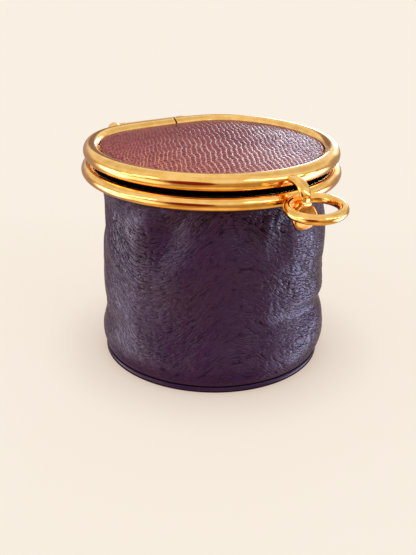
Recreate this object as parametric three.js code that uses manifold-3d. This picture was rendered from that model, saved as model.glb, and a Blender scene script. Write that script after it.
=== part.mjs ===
// Expandable coin purse: a soft leather pouch in a gilt frame of two rings, a hinged lid with a leather
// panel, a clasp hook with a thumb tab, and a pull ring.
// Millimetres, +Z up. The purse stands on z = 0 with its hinge at +Y and its clasp at -Y.
import * as THREE from 'three';
import { mergeVertices } from 'three/addons/utils/BufferGeometryUtils.js';
import Module from 'manifold-3d';

const wasm = await Module();
wasm.setup();

// Clearance between pieces that touch on the real purse
const GAP = 0.3;

// The two frame rings are round tubes with one straight side at the hinge
const RING_COLUMNS = 64;
const HINGE_SIDE = 26.8; // purse axis to the middle of each straight side
const CORNER_SHARPNESS = 15; // higher makes the ends of the straight side tighter
const LID_RING = { radius: 30.9, tube: 2.1, height: 55.6, sides: 12 };
const RIM_RING = { radius: 31.95, tube: 1.68, height: 50.85, sides: 10 };

// The lid tube's butt joint shows as a groove on the straight side
const SEAM = { x: 4.5, halfWidth: 0.25, depth: 0.3 };

// Hinge: a pin with a round head at one end and a flat riveted end at the other, two ears on the rim and
// one barrel on the lid
const HINGE = {
  y: HINGE_SIDE + 4.1,
  z: LID_RING.height + 0.1,
  pinRadius: 0.45,
  boreRadius: 0.45 + GAP,
  barrelRadius: 1.1,
  barrelLength: 16,
  webLength: 12,
  webHeight: 1.2,
  earRadius: 1.2,
  earWidth: 1.8,
  earMiddle: 9.3,
  headRadius: 1.65,
  headMiddle: 12.2,
  rivetRadius: 1.0,
  rivetStart: 10.5,
  rivetLength: 0.7,
};

// Pull ring: its wire lies in the hook's eye and the ring reaches outwards, almost level
const PULL_RING = { radius: 6.2, wire: 1.2, sides: 10, columns: 36, droop: 3, twist: 4 };
const EYE = { out: 35.4, up: -4.1 }; // from the purse axis, and from the lid ring's centre

// Clasp hook, from the lid ring out, down and in under the pull ring.
// out: from the purse axis, up: from the lid ring's centre, thick and wide: the bar's section
const HOOK_SECTIONS = [
  { out: 31.4, up: 0.1, thick: 1.7, wide: 3.0 },
  { out: 34.2, up: 0.2, thick: 1.8, wide: 3.1 },
  { out: 36.2, up: -0.3, thick: 1.85, wide: 3.1 },
  { out: 37.5, up: -1.6, thick: 1.85, wide: 3.05 },
  { out: 37.85, up: -3.0, thick: 1.75, wide: 2.9 },
  { out: 37.75, up: -4.6, thick: 1.45, wide: 2.4 },
  { out: 36.85, up: -5.95, thick: 1.3, wide: 2.4 },
  { out: 35.6, up: -6.4, thick: 1.1, wide: 2.3 },
  { out: 34.5, up: -6.05, thick: 0.8, wide: 2.1 },
];
const HOOK_STEPS = 22;
const HOOK_SIDES = 12;
const SHOULDER = { out: 38.0, up: -4.3, radius: 0.8, length: 2.6 };
// halfHeight, and half widths towards the tab's top and bottom
const TAB = { out: 38.1, up: -7.4, halfHeight: 3.15, top: 3.0, bottom: 3.8, thick: 1.2, edge: 0.3, tilt: 6 };

// Lid panel: leather over a board, resting against the inner side of the lid tube.
// inset: from the lid tube's centre line, up: from the lid ring's centre
const PANEL_EDGE = [
  { inset: 3.4, up: -0.9 },
  { inset: 2.45, up: -0.6 },
  { inset: 2.45, up: 0.2 },
  { inset: 2.28, up: 0.72 },
  { inset: 2.22, up: 0.9 },
  { inset: 2.4, up: 1.05 },
];
const PANEL_CROWN = [
  { scale: 0.8, rise: 0.25 },
  { scale: 0.45, rise: 0.45 },
];
const PANEL_TOP_RISE = 0.5; // at the middle, above the panel's edge

// Leather base with a rolled edge
const BASE = { radius: 29.66, edge: 0.8 };

// Soft leather wall. The pouch leans a little to one side below its rim.
const WALL_THICKNESS = 1.2;
const LEAN_HEADING = -34; // degrees from +X
const BASE_LEAN = 0.85;
// reach: outer radius, flat: how far the section follows the rings' straight side, lean: sideways shift
const WALL_SECTIONS = [
  { height: 52.3, reach: 29.8, flat: 1.0, lean: 0.0 },
  { height: 48.8, reach: 29.7, flat: 1.0, lean: 0.0 },
  { height: 46.2, reach: 29.0, flat: 0.95, lean: 0.15 },
  { height: 43.6, reach: 28.7, flat: 0.8, lean: 0.4 },
  { height: 40.4, reach: 29.1, flat: 0.6, lean: 0.8 },
  { height: 36.4, reach: 29.5, flat: 0.35, lean: 1.05 },
  { height: 32.2, reach: 29.6, flat: 0.2, lean: 1.05 },
  { height: 28.0, reach: 29.6, flat: 0.1, lean: 1.05 },
  { height: 24.0, reach: 29.7, flat: 0.0, lean: 1.05 },
  { height: 20.2, reach: 29.8, flat: 0.0, lean: 1.05 },
  { height: 16.8, reach: 29.8, flat: 0.0, lean: 1.1 },
  { height: 13.6, reach: 29.9, flat: 0.0, lean: 1.2 },
  { height: 10.4, reach: 30.4, flat: 0.0, lean: 1.15 },
  { height: 7.2, reach: 30.75, flat: 0.0, lean: 1.1 },
  { height: 4.4, reach: 30.5, flat: 0.0, lean: 0.95 },
  { height: 1.9, reach: 29.6, flat: 0.0, lean: 0.85 },
];
// Dents and folds. bearing: degrees round from the clasp towards +X, along and across: half lengths,
// slant: degrees of the long way from level, rise: outwards where positive
const WALL_FOLDS = [
  { bearing: -69, height: 42, along: 4.5, across: 2.2, slant: 55, rise: 1.2 },
  { bearing: -57, height: 40, along: 5.5, across: 3.0, slant: 55, rise: -1.2 },
  { bearing: -67, height: 30, along: 6.0, across: 3.5, slant: 15, rise: 0.6 },
  { bearing: -64, height: 22, along: 8.0, across: 3.5, slant: -10, rise: -0.5 },
  { bearing: -72, height: 13, along: 6.0, across: 3.0, slant: -50, rise: 0.5 },
  { bearing: -29, height: 30, along: 14.0, across: 6.0, slant: 95, rise: -0.7 },
  { bearing: -9, height: 42, along: 4.0, across: 2.2, slant: 75, rise: 0.7 },
  { bearing: 0, height: 41, along: 4.0, across: 2.0, slant: 60, rise: -0.8 },
  { bearing: 14, height: 31, along: 8.0, across: 6.0, slant: 0, rise: 0.5 },
  { bearing: 34, height: 17, along: 13.0, across: 2.4, slant: -4, rise: -0.7 },
  { bearing: 80, height: 42, along: 6.0, across: 3.5, slant: 0, rise: 1.1 },
  { bearing: 92, height: 34, along: 9.0, across: 5.0, slant: 70, rise: -0.8 },
  { bearing: 110, height: 22, along: 7.0, across: 3.0, slant: 20, rise: 0.6 },
  { bearing: 140, height: 16, along: 9.0, across: 3.0, slant: 8, rise: -0.8 },
  { bearing: 172, height: 27, along: 8.0, across: 5.0, slant: 90, rise: 0.6 },
  { bearing: -150, height: 30, along: 9.0, across: 4.0, slant: 40, rise: -0.8 },
  { bearing: -122, height: 37, along: 6.0, across: 3.0, slant: -60, rise: -0.5 },
  { bearing: -135, height: 15, along: 8.0, across: 3.0, slant: -8, rise: -0.6 },
];
const FOLD_TOP = [44, 48]; // the folds fade out between these heights, under the rim
const FOLD_BOTTOM = [2, 6]; // and between these, above the base

const rad = THREE.MathUtils.degToRad;

// A closed solid through rows of points, each row a loop; ends are capped unless the rows close up too
function loft(rows, closeRows) {
  const columns = rows[0].length;
  const points = rows.flat();
  const faces = [];
  const at = (row, column) => (row % rows.length) * columns + (column % columns);
  const lastRow = closeRows ? rows.length : rows.length - 1;
  for (let row = 0; row < lastRow; row += 1) {
    for (let column = 0; column < columns; column += 1) {
      faces.push([at(row, column), at(row, column + 1), at(row + 1, column + 1)]);
      faces.push([at(row, column), at(row + 1, column + 1), at(row + 1, column)]);
    }
  }
  if (!closeRows) {
    addCap(points, faces, rows[0], 0, true);
    addCap(points, faces, rows[rows.length - 1], (rows.length - 1) * columns, false);
  }
  return closedGeometry(points, faces);
}

// A fan from the middle of an end loop
function addCap(points, faces, loop, first, reversed) {
  const middle = loop.reduce((sum, point) => sum.add(point), new THREE.Vector3()).divideScalar(loop.length);
  const centre = points.push(middle) - 1;
  for (let column = 0; column < loop.length; column += 1) {
    const here = first + column;
    const next = first + ((column + 1) % loop.length);
    faces.push(reversed ? [centre, next, here] : [centre, here, next]);
  }
}

// An indexed geometry whose faces look outwards
function closedGeometry(points, faces) {
  const cross = new THREE.Vector3();
  let volume = 0;
  for (const [a, b, c] of faces) {
    volume += points[a].dot(cross.crossVectors(points[b], points[c]));
  }
  const outward = volume > 0 ? faces : faces.map(([a, b, c]) => [a, c, b]);
  const geometry = new THREE.BufferGeometry();
  geometry.setFromPoints(points);
  geometry.setIndex(outward.flat());
  return geometry;
}

function toManifold(geometry) {
  const bare = geometry.clone();
  bare.deleteAttribute('normal');
  bare.deleteAttribute('uv');
  const welded = mergeVertices(bare, 1e-4);
  const vertProperties = new Float32Array(welded.attributes.position.array);
  const triVerts = new Uint32Array(welded.index.array);
  return new wasm.Manifold(new wasm.Mesh({ numProp: 3, vertProperties, triVerts }));
}

function toGeometry(manifold) {
  const { vertProperties, triVerts } = manifold.getMesh();
  const geometry = new THREE.BufferGeometry();
  geometry.setAttribute('position', new THREE.BufferAttribute(new Float32Array(vertProperties), 3));
  geometry.setIndex(new THREE.BufferAttribute(new Uint32Array(triVerts), 1));
  return geometry;
}

// Soldered pieces joined into one solid, then drilled
function solder(pieces, drills = []) {
  let solid = toManifold(pieces[0]);
  for (const piece of pieces.slice(1)) {
    solid = solid.add(toManifold(piece));
  }
  for (const drill of drills) {
    solid = solid.subtract(toManifold(drill));
  }
  return toGeometry(solid);
}

// Distance from the purse axis to a frame ring's centre line
function ringReach(angle, radius) {
  const towardsHinge = Math.sin(angle);
  if (towardsHinge < 0.3) {
    return radius;
  }
  const straight = HINGE_SIDE / towardsHinge;
  return (radius ** -CORNER_SHARPNESS + straight ** -CORNER_SHARPNESS) ** (-1 / CORNER_SHARPNESS);
}

// A point on a frame ring's outline, moved in by an inset
function ringPoint(angle, radius, inset = 0) {
  const onRing = (a) => new THREE.Vector2(Math.cos(a), Math.sin(a)).multiplyScalar(ringReach(a, radius));
  const step = 0.01;
  const along = onRing(angle + step).sub(onRing(angle - step)).normalize();
  const inwards = new THREE.Vector2(-along.y, along.x);
  return onRing(angle).addScaledVector(inwards, inset);
}

function turnAngles(count) {
  return Array.from({ length: count }, (_, index) => (index / count) * Math.PI * 2);
}

// A frame ring's tube, with an optional groove round it
function ringTube(ring, groove) {
  const stops = turnAngles(RING_COLUMNS).map((angle) => ({ angle, tube: ring.tube }));
  if (groove) {
    for (const [shift, depth] of [[-groove.halfWidth, 0], [0, groove.depth], [groove.halfWidth, 0]]) {
      stops.push({ angle: Math.atan2(HINGE_SIDE, groove.x + shift), tube: ring.tube - depth });
    }
    stops.sort((a, b) => a.angle - b.angle);
  }
  const rows = stops.map(({ angle, tube }) => turnAngles(ring.sides).map((turn) => {
    const point = ringPoint(angle, ring.radius, -tube * Math.cos(turn));
    return new THREE.Vector3(point.x, point.y, ring.height + tube * Math.sin(turn));
  }));
  return loft(rows, true);
}

// A round bar along X on the hinge axis
function hingeBar(radius, length) {
  const bar = new THREE.CylinderGeometry(radius, radius, length, 14);
  bar.rotateZ(Math.PI / 2);
  bar.translate(0, HINGE.y, HINGE.z);
  return bar;
}

function hingeWeb() {
  const near = HINGE_SIDE + LID_RING.tube * 0.5;
  const web = new THREE.BoxGeometry(HINGE.webLength, HINGE.y - near, HINGE.webHeight);
  web.translate(0, (HINGE.y + near) / 2, HINGE.z);
  return web;
}

// The hook's bar: rounded sections along a smooth curve in the plane x = 0
function hookBar() {
  const middles = HOOK_SECTIONS.map(({ out, up }) => new THREE.Vector3(0, -out, LID_RING.height + up));
  const curve = new THREE.CatmullRomCurve3(middles);
  const rounded = (value) => Math.sign(value) * Math.abs(value) ** 0.75;
  const rows = [];
  for (let step = 0; step <= HOOK_STEPS; step += 1) {
    const along = (step / HOOK_STEPS) * (HOOK_SECTIONS.length - 1);
    const before = HOOK_SECTIONS[Math.floor(along)];
    const after = HOOK_SECTIONS[Math.ceil(along)];
    const thick = THREE.MathUtils.lerp(before.thick, after.thick, along % 1);
    const wide = THREE.MathUtils.lerp(before.wide, after.wide, along % 1);
    const middle = curve.getPoint(step / HOOK_STEPS);
    const tangent = curve.getTangent(step / HOOK_STEPS);
    const across = new THREE.Vector3(1, 0, 0);
    const outwards = new THREE.Vector3().crossVectors(across, tangent);
    rows.push(turnAngles(HOOK_SIDES).map((turn) => middle.clone()
      .addScaledVector(across, (wide / 2) * rounded(Math.cos(turn)))
      .addScaledVector(outwards, (thick / 2) * rounded(Math.sin(turn)))));
  }
  return loft(rows, false);
}

function hookShoulder() {
  const bar = new THREE.CylinderGeometry(SHOULDER.radius, SHOULDER.radius, SHOULDER.length, 12);
  bar.rotateZ(Math.PI / 2);
  bar.translate(0, -SHOULDER.out, LID_RING.height + SHOULDER.up);
  return bar;
}

// Thumb tab with softened edges, facing outwards: a round disc drawn out wider towards its bottom
function thumbTab() {
  const half = TAB.thick / 2;
  const bevel = TAB.edge / TAB.halfHeight;
  const profile = [
    new THREE.Vector2(0, -half),
    new THREE.Vector2(1 - bevel, -half),
    new THREE.Vector2(1, TAB.edge - half),
    new THREE.Vector2(1, half - TAB.edge),
    new THREE.Vector2(1 - bevel, half),
    new THREE.Vector2(0, half),
  ];
  const tab = new THREE.LatheGeometry(profile, 28);
  const places = tab.attributes.position;
  for (let index = 0; index < places.count; index += 1) {
    const upwards = places.getZ(index);
    const halfWidth = THREE.MathUtils.lerp(TAB.bottom, TAB.top, (upwards + 1) / 2);
    places.setX(index, places.getX(index) * halfWidth);
    places.setZ(index, upwards * TAB.halfHeight);
  }
  tab.rotateX(-rad(TAB.tilt));
  tab.translate(0, -TAB.out, LID_RING.height + TAB.up);
  return tab;
}

function lidRing() {
  const pieces = [
    ringTube(LID_RING, SEAM),
    hingeWeb(),
    hingeBar(HINGE.barrelRadius, HINGE.barrelLength),
    hookBar(),
    hookShoulder(),
    thumbTab(),
  ];
  return solder(pieces, [hingeBar(HINGE.boreRadius, HINGE.barrelLength + 2)]);
}

// One hinge ear: a plate from the rim tube, up behind the lid tube, to an eye round the pin
function hingeEar(middle) {
  const foot = HINGE_SIDE + RIM_RING.tube * 0.4;
  const inner = HINGE.y - HINGE.earRadius;
  const outer = HINGE.y + HINGE.earRadius;
  const plate = new THREE.Shape();
  plate.moveTo(foot, RIM_RING.height - 0.9);
  plate.lineTo(inner, RIM_RING.height - 0.9);
  plate.lineTo(outer, RIM_RING.height + 1.5);
  plate.lineTo(outer, HINGE.z);
  plate.absarc(HINGE.y, HINGE.z, HINGE.earRadius, 0, Math.PI, false);
  plate.lineTo(inner, RIM_RING.height + 1.6);
  plate.lineTo(foot, RIM_RING.height + 0.9);
  const ear = new THREE.ExtrudeGeometry(plate, { depth: HINGE.earWidth, bevelEnabled: false, curveSegments: 8 });
  // The plate is drawn in Y and Z, and its depth runs along X
  const turn = new THREE.Matrix4().makeBasis(
    new THREE.Vector3(0, 1, 0),
    new THREE.Vector3(0, 0, 1),
    new THREE.Vector3(1, 0, 0),
  );
  ear.applyMatrix4(turn);
  ear.translate(middle - HINGE.earWidth / 2, 0, 0);
  return ear;
}

function rimRing() {
  const pieces = [ringTube(RIM_RING), hingeEar(-HINGE.earMiddle), hingeEar(HINGE.earMiddle)];
  return solder(pieces, [hingeBar(HINGE.boreRadius, HINGE.headMiddle * 2)]);
}

// The pin's profile runs over the round head, along the rod and round the riveted end
function hingePin() {
  const profile = [];
  const meet = Math.asin(HINGE.pinRadius / HINGE.headRadius);
  const stops = 6;
  for (let stop = 0; stop <= stops; stop += 1) {
    const turn = (stop / stops) * (Math.PI - meet);
    const outOfEnd = Math.cos(turn) * HINGE.headRadius;
    const radius = stop === 0 ? 0 : Math.sin(turn) * HINGE.headRadius;
    profile.push(new THREE.Vector2(radius, -HINGE.headMiddle - outOfEnd));
  }
  const rivetEnd = HINGE.rivetStart + HINGE.rivetLength;
  profile.push(new THREE.Vector2(HINGE.pinRadius, HINGE.rivetStart));
  profile.push(new THREE.Vector2(HINGE.rivetRadius, HINGE.rivetStart));
  profile.push(new THREE.Vector2(HINGE.rivetRadius, rivetEnd - GAP));
  profile.push(new THREE.Vector2(HINGE.rivetRadius - GAP, rivetEnd));
  profile.push(new THREE.Vector2(0, rivetEnd));
  const pin = new THREE.LatheGeometry(profile, 14);
  pin.rotateZ(-Math.PI / 2);
  pin.translate(0, HINGE.y, HINGE.z);
  return pin;
}

function lidPanel() {
  const angles = turnAngles(RING_COLUMNS);
  const edge = PANEL_EDGE.map(({ inset, up }) => angles.map((angle) => {
    const point = ringPoint(angle, LID_RING.radius, inset);
    return new THREE.Vector3(point.x, point.y, LID_RING.height + up);
  }));
  const top = edge[edge.length - 1];
  const crown = PANEL_CROWN.map(({ scale, rise }) => top.map((point) => (
    new THREE.Vector3(point.x * scale, point.y * scale, point.z + rise))));
  const middle = PANEL_TOP_RISE - PANEL_CROWN[PANEL_CROWN.length - 1].rise;
  const tip = crown[crown.length - 1].map((point) => (
    new THREE.Vector3(point.x * 0.1, point.y * 0.1, point.z + middle)));
  return loft([...edge, ...crown, tip], false);
}

function basePanel() {
  const core = BASE.radius - BASE.edge;
  const profile = [new THREE.Vector2(0, 0)];
  for (let step = 0; step <= 6; step += 1) {
    const turn = rad(-90 + step * 30);
    const out = core + BASE.edge * Math.cos(turn);
    profile.push(new THREE.Vector2(out, BASE.edge + BASE.edge * Math.sin(turn)));
  }
  profile.push(new THREE.Vector2(0, BASE.edge * 2));
  const base = new THREE.LatheGeometry(profile, RING_COLUMNS);
  base.rotateX(Math.PI / 2);
  return base;
}

const fade = (value, [low, high]) => THREE.MathUtils.smoothstep(value, low, high);

// How far the wall stands out or in at one place
function wallRelief(angle, height) {
  const inUse = (1 - fade(height, FOLD_TOP)) * fade(height, FOLD_BOTTOM);
  let relief = 0;
  for (const fold of WALL_FOLDS) {
    const bearing = THREE.MathUtils.radToDeg(angle) + 90 - fold.bearing;
    const turned = THREE.MathUtils.euclideanModulo(bearing + 180, 360) - 180;
    const sideways = rad(turned) * BASE.radius;
    const upwards = height - fold.height;
    const slant = rad(fold.slant);
    const along = (sideways * Math.cos(slant) + upwards * Math.sin(slant)) / fold.along;
    const across = (upwards * Math.cos(slant) - sideways * Math.sin(slant)) / fold.across;
    relief += fold.rise * Math.exp(-(along ** 2 + across ** 2) / 2);
  }
  return relief * inUse;
}

// One loop of the wall: between a circle and the rings' outline, leaned over, with its folds
function wallLoop(section, depth) {
  const reach = section.reach - depth;
  const heading = new THREE.Vector2(Math.cos(rad(LEAN_HEADING)), Math.sin(rad(LEAN_HEADING)));
  return turnAngles(RING_COLUMNS).map((angle) => {
    const outwards = new THREE.Vector2(Math.cos(angle), Math.sin(angle));
    const round = outwards.clone().multiplyScalar(reach);
    const straight = ringPoint(angle, RIM_RING.radius, RIM_RING.radius - reach);
    const point = round.lerp(straight, section.flat);
    point.addScaledVector(heading, section.lean);
    point.addScaledVector(outwards, wallRelief(angle, section.height));
    return new THREE.Vector3(point.x, point.y, section.height);
  });
}

function bodyWall() {
  const outside = WALL_SECTIONS.map((section) => wallLoop(section, 0));
  const inside = WALL_SECTIONS.map((section) => wallLoop(section, WALL_THICKNESS));
  return loft([...outside, ...inside.reverse()], true);
}

function leather(color, roughness) {
  return new THREE.MeshStandardMaterial({ color, roughness, metalness: 0 });
}

function gilt() {
  return new THREE.MeshStandardMaterial({ color: '#d9a441', roughness: 0.18, metalness: 1 });
}

function piece(name, geometry, material) {
  const mesh = new THREE.Mesh(geometry, material);
  mesh.name = name;
  return mesh;
}

// The pull ring turns about its wire where it lies in the hook's eye
function pullRing() {
  const wire = new THREE.TorusGeometry(PULL_RING.radius, PULL_RING.wire, PULL_RING.sides, PULL_RING.columns);
  wire.translate(0, -PULL_RING.radius, 0);
  const swing = new THREE.Group();
  swing.position.set(0, -EYE.out, LID_RING.height + EYE.up);
  swing.rotation.set(rad(PULL_RING.droop), -rad(PULL_RING.twist), 0);
  swing.add(piece('pull_ring', wire, gilt()));
  return swing;
}

function lid() {
  const group = new THREE.Group();
  group.add(piece('lid_ring', lidRing(), gilt()));
  group.add(piece('lid_panel', lidPanel(), leather('#7d3f4a', 0.45)));
  group.add(pullRing());
  return group;
}

function pouch() {
  const group = new THREE.Group();
  group.add(piece('rim_ring', rimRing(), gilt()));
  group.add(piece('hinge_pin', hingePin(), gilt()));
  group.add(piece('body_wall', bodyWall(), leather('#45304a', 0.42)));
  const base = piece('base_panel', basePanel(), leather('#3a2638', 0.45));
  base.position.set(BASE_LEAN * Math.cos(rad(LEAN_HEADING)), BASE_LEAN * Math.sin(rad(LEAN_HEADING)), 0);
  group.add(base);
  return group;
}

const purse = new THREE.Group();
purse.add(pouch());
purse.add(lid());

export default purse;
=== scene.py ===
"""Looks of an expandable coin purse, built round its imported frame.

A soft leather pouch hangs in a gilt frame of two rings. The upper ring holds a leather lid panel, turns
on a hinge at the back, and carries a clasp hook with a thumb tab and a loose pull ring at the front.
Tables are in millimetres and degrees, meshes are in metres, and +Z is up the purse's axis.
"""

from __future__ import annotations

import logging
import math
from dataclasses import dataclass, field
from enum import Enum
from typing import Any, Callable, Iterable, Sequence, Union

import bmesh
import bpy
import numpy as np
from mathutils import Euler, Matrix, Quaternion, Vector

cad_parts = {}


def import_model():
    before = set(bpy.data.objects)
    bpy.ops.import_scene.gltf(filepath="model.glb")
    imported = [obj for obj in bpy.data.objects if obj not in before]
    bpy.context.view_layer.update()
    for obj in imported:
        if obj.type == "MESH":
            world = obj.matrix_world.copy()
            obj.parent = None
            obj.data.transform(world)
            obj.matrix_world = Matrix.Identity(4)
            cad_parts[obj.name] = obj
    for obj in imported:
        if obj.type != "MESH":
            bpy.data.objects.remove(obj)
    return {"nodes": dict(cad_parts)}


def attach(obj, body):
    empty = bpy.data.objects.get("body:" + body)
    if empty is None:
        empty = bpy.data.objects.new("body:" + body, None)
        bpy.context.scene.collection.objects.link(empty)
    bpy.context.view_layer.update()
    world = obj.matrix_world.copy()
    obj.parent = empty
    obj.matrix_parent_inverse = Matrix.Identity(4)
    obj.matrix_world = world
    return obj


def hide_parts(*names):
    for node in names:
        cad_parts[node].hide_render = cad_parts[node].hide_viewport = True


LOG = logging.getLogger("coin_purse")
MM = 0.001
TURN = 2.0 * math.pi
MERGE_DISTANCE = 2e-7  # in metres

# Sizes that several classes share
LID_RADIUS = 30.9
LID_HEIGHT = 55.6
RIM_RADIUS = 31.95
RIM_HEIGHT = 50.85
BASE_RADIUS = 29.66
SCALLOP = 0.2

# How far the crackle strays in millimetres, and the scale, share and crease width of its two layers
STRAY_REACH = (1.5, 1.1, 0.0)
CRACKLE_LAYERS = ((0.85, 0.7, 0.09), (1.6, 0.3, 0.11))

Colour = tuple[float, float, float]
Point = tuple[float, float, float]
Socket = bpy.types.NodeSocket
SocketValue = Union[Socket, float, tuple]

WARM_WHITE: Colour = (1.0, 0.95, 0.92)


class Body(Enum):
    """Bodies of the frame that pieces ride on."""

    PURSE = "purse"
    LID = "lid"
    PULL = "pull"


class Part(Enum):
    """Kinds of mesh part that can be picked."""

    EDGE = "EDGE"
    FACE = "FACE"

    def among(self, form: bmesh.types.BMesh) -> Iterable[Any]:
        """Gives the parts of this kind in an edit mesh."""
        return form.edges if self is Part.EDGE else form.faces

    def middle(self, item: Any) -> Vector:
        """Gives the middle of one part, in metres."""
        if self is Part.EDGE:
            return (item.verts[0].co + item.verts[1].co) / 2
        return item.calc_center_median()


class Workpiece:
    """One mesh on the bench, shaped with Blender's own operators."""

    def __init__(self, name: str, add: Callable[..., Any], **size: Any) -> None:
        """Adds a primitive at its size and place.

        Args:
            name: Name of the finished piece.
            add: Operator that adds the primitive.
            size: Settings of that operator, in metres.
        """
        self.clear_bench()
        add(**size)
        self.take_up(name)

    @classmethod
    def ring(cls, name: str, radius: float, tube: float, segments: tuple[int, int], **pose: Any) -> Workpiece:
        """Adds a torus by its radii in millimetres, with a place in metres and a turn."""
        return cls(
            name, bpy.ops.mesh.primitive_torus_add, major_radius=radius * MM, minor_radius=tube * MM,
            major_segments=segments[0], minor_segments=segments[1], **pose,
        )

    @classmethod
    def bar(cls, name: str, radius: float, length: float, sides: int, place: Sequence[float]) -> Workpiece:
        """Adds a round bar along X, in millimetres."""
        return cls(
            name, bpy.ops.mesh.primitive_cylinder_add, vertices=sides, radius=radius * MM, depth=length * MM,
            location=[part * MM for part in place], rotation=(0.0, math.pi / 2, 0.0),
        )

    @classmethod
    def loop(cls, name: str, count: int, fill: str = "NOTHING") -> Workpiece:
        """Adds a closed loop of vertices, one millimetre in radius, to be reshaped."""
        return cls(name, bpy.ops.mesh.primitive_circle_add, vertices=count, radius=MM, fill_type=fill)

    @staticmethod
    def clear_bench() -> None:
        """Leaves any edit mode and deselects everything."""
        if bpy.context.object and bpy.context.object.mode != "OBJECT":
            bpy.ops.object.mode_set(mode="OBJECT")
        bpy.ops.object.select_all(action="DESELECT")

    def take_up(self, name: str) -> None:
        """Takes the active object as this piece, with its place in its mesh."""
        self.thing = bpy.context.object
        self.thing.name = name
        self.thing.data.name = name
        bpy.ops.object.transform_apply(location=True, rotation=True, scale=True)

    @property
    def mesh(self) -> bpy.types.Mesh:
        """The piece's mesh data."""
        return self.thing.data

    def enter(self, mode: str) -> None:
        """Makes this piece the only selected one and enters a mode."""
        self.clear_bench()
        self.thing.select_set(True)
        bpy.context.view_layer.objects.active = self.thing
        bpy.ops.object.mode_set(mode=mode)

    def pick(self, part: Part, test: Callable[[Any, Vector], bool]) -> None:
        """Selects the mesh parts that pass a test, in edit mode.

        Args:
            part: Kind of part to select.
            test: Takes a part and its middle in millimetres, and says whether to select it.
        """
        self.enter("EDIT")
        bpy.ops.mesh.select_mode(type=part.value)
        bpy.ops.mesh.select_all(action="DESELECT")
        form = bmesh.from_edit_mesh(self.mesh)
        for item in part.among(form):
            if test(item, part.middle(item) / MM):
                item.select_set(True)
        form.select_flush_mode()
        bmesh.update_edit_mesh(self.mesh)

    def pick_all(self) -> None:
        """Selects the whole mesh, in edit mode."""
        self.enter("EDIT")
        bpy.ops.mesh.select_all(action="SELECT")

    def extrude(self, shift: Sequence[float]) -> None:
        """Extrudes what is selected and shifts it, in millimetres."""
        bpy.ops.mesh.extrude_region_move(TRANSFORM_OT_translate={"value": Vector(shift) * MM})

    def resize(self, factors: Sequence[float], centre: Sequence[float]) -> None:
        """Scales what is selected about a centre given in millimetres."""
        bpy.ops.transform.resize(value=tuple(factors), center_override=tuple(Vector(centre) * MM))

    def turn(self, degrees: float, axis: str, centre: Sequence[float]) -> None:
        """Turns what is selected about an axis through a centre given in millimetres."""
        place = tuple(Vector(centre) * MM)
        bpy.ops.transform.rotate(value=-math.radians(degrees), orient_axis=axis, center_override=place)

    def bevel(self, width: float, segments: int) -> None:
        """Rounds the selected edges by a width in millimetres."""
        bpy.ops.mesh.bevel(offset=width * MM, segments=segments, affect="EDGES")

    def places(self) -> np.ndarray:
        """Gives the vertices' places in millimetres, one row each."""
        self.enter("OBJECT")
        flat = np.empty(len(self.mesh.vertices) * 3, np.float32)
        self.mesh.vertices.foreach_get("co", flat)
        return flat.reshape(-1, 3).astype(float) / MM

    def reshape(self, move: Callable[[np.ndarray], np.ndarray]) -> None:
        """Moves every vertex.

        Args:
            move: Takes the places in millimetres, one row each, and gives the new ones.
        """
        moved = move(self.places()) * MM
        self.mesh.vertices.foreach_set("co", moved.astype(np.float32).ravel())
        self.mesh.update()

    def mark(self, **marks: np.ndarray) -> None:
        """Keeps named numbers, one for each vertex, for a finish to read."""
        self.enter("OBJECT")
        for name, values in marks.items():
            attribute = self.mesh.attributes.new(name, "FLOAT", "POINT")
            attribute.data.foreach_set("value", values.astype(np.float32))

    def settle(self, angle: float = 40.0) -> None:
        """Merges doubles, turns the faces outwards and smooths them up to an angle in degrees."""
        self.pick_all()
        bpy.ops.mesh.remove_doubles(threshold=MERGE_DISTANCE)
        bpy.ops.mesh.normals_make_consistent(inside=False)
        self.enter("OBJECT")
        bpy.ops.object.shade_smooth_by_angle(angle=math.radians(angle))

    def apply(self, kind: str, **settings: Any) -> None:
        """Adds a modifier and applies it.

        Args:
            kind: Blender's name of the modifier.
            settings: The modifier's settings.
        """
        self.enter("OBJECT")
        modifier = self.thing.modifiers.new(kind.lower(), kind)
        for key, value in settings.items():
            setattr(modifier, key, value)
        bpy.ops.object.modifier_apply(modifier=modifier.name)

    def cut_with(self, cutter: Workpiece) -> None:
        """Takes another workpiece's shape out of this one, and removes that workpiece."""
        self.apply("BOOLEAN", operation="DIFFERENCE", object=cutter.thing, solver="EXACT")
        cutter.enter("OBJECT")
        bpy.ops.object.delete()

    def take_in(self, other: Workpiece) -> None:
        """Joins another workpiece's mesh to this one."""
        self.enter("OBJECT")
        other.thing.select_set(True)
        bpy.ops.object.join()

    def copy_to(self, name: str, shift: Sequence[float]) -> Workpiece:
        """Copies the piece with its own mesh.

        Args:
            name: Name of the copy.
            shift: How far the copy is moved, in millimetres.

        Returns:
            The copy.
        """
        self.enter("OBJECT")
        bpy.ops.object.duplicate(linked=False)
        bpy.ops.transform.translate(value=tuple(Vector(shift) * MM))
        twin = Workpiece.__new__(Workpiece)
        twin.take_up(name)
        return twin

    def install(self, body: Body, node: str, slot: str, *finishes: bpy.types.Material) -> None:
        """Dresses the finished piece and hangs it on the frame.

        Args:
            body: Body that the piece rides on.
            node: Frame node that it stands for.
            slot: Name of a material slot; not used.
            finishes: Its materials, in the order of its faces' slots.
        """
        self.enter("OBJECT")
        self.mesh.materials.clear()
        for finish in finishes:
            self.mesh.materials.append(finish)
        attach(self.thing, body.value)
        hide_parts(node)
        self.mesh.calc_loop_triangles()
        LOG.info("%s: %d triangles on %s", self.thing.name, len(self.mesh.loop_triangles), body.value)

    def refinish(self, test: Callable[[bpy.types.MeshPolygon], bool]) -> None:
        """Gives the second finish to the faces that pass a test."""
        for face in self.mesh.polygons:
            face.material_index = int(test(face))


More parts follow.
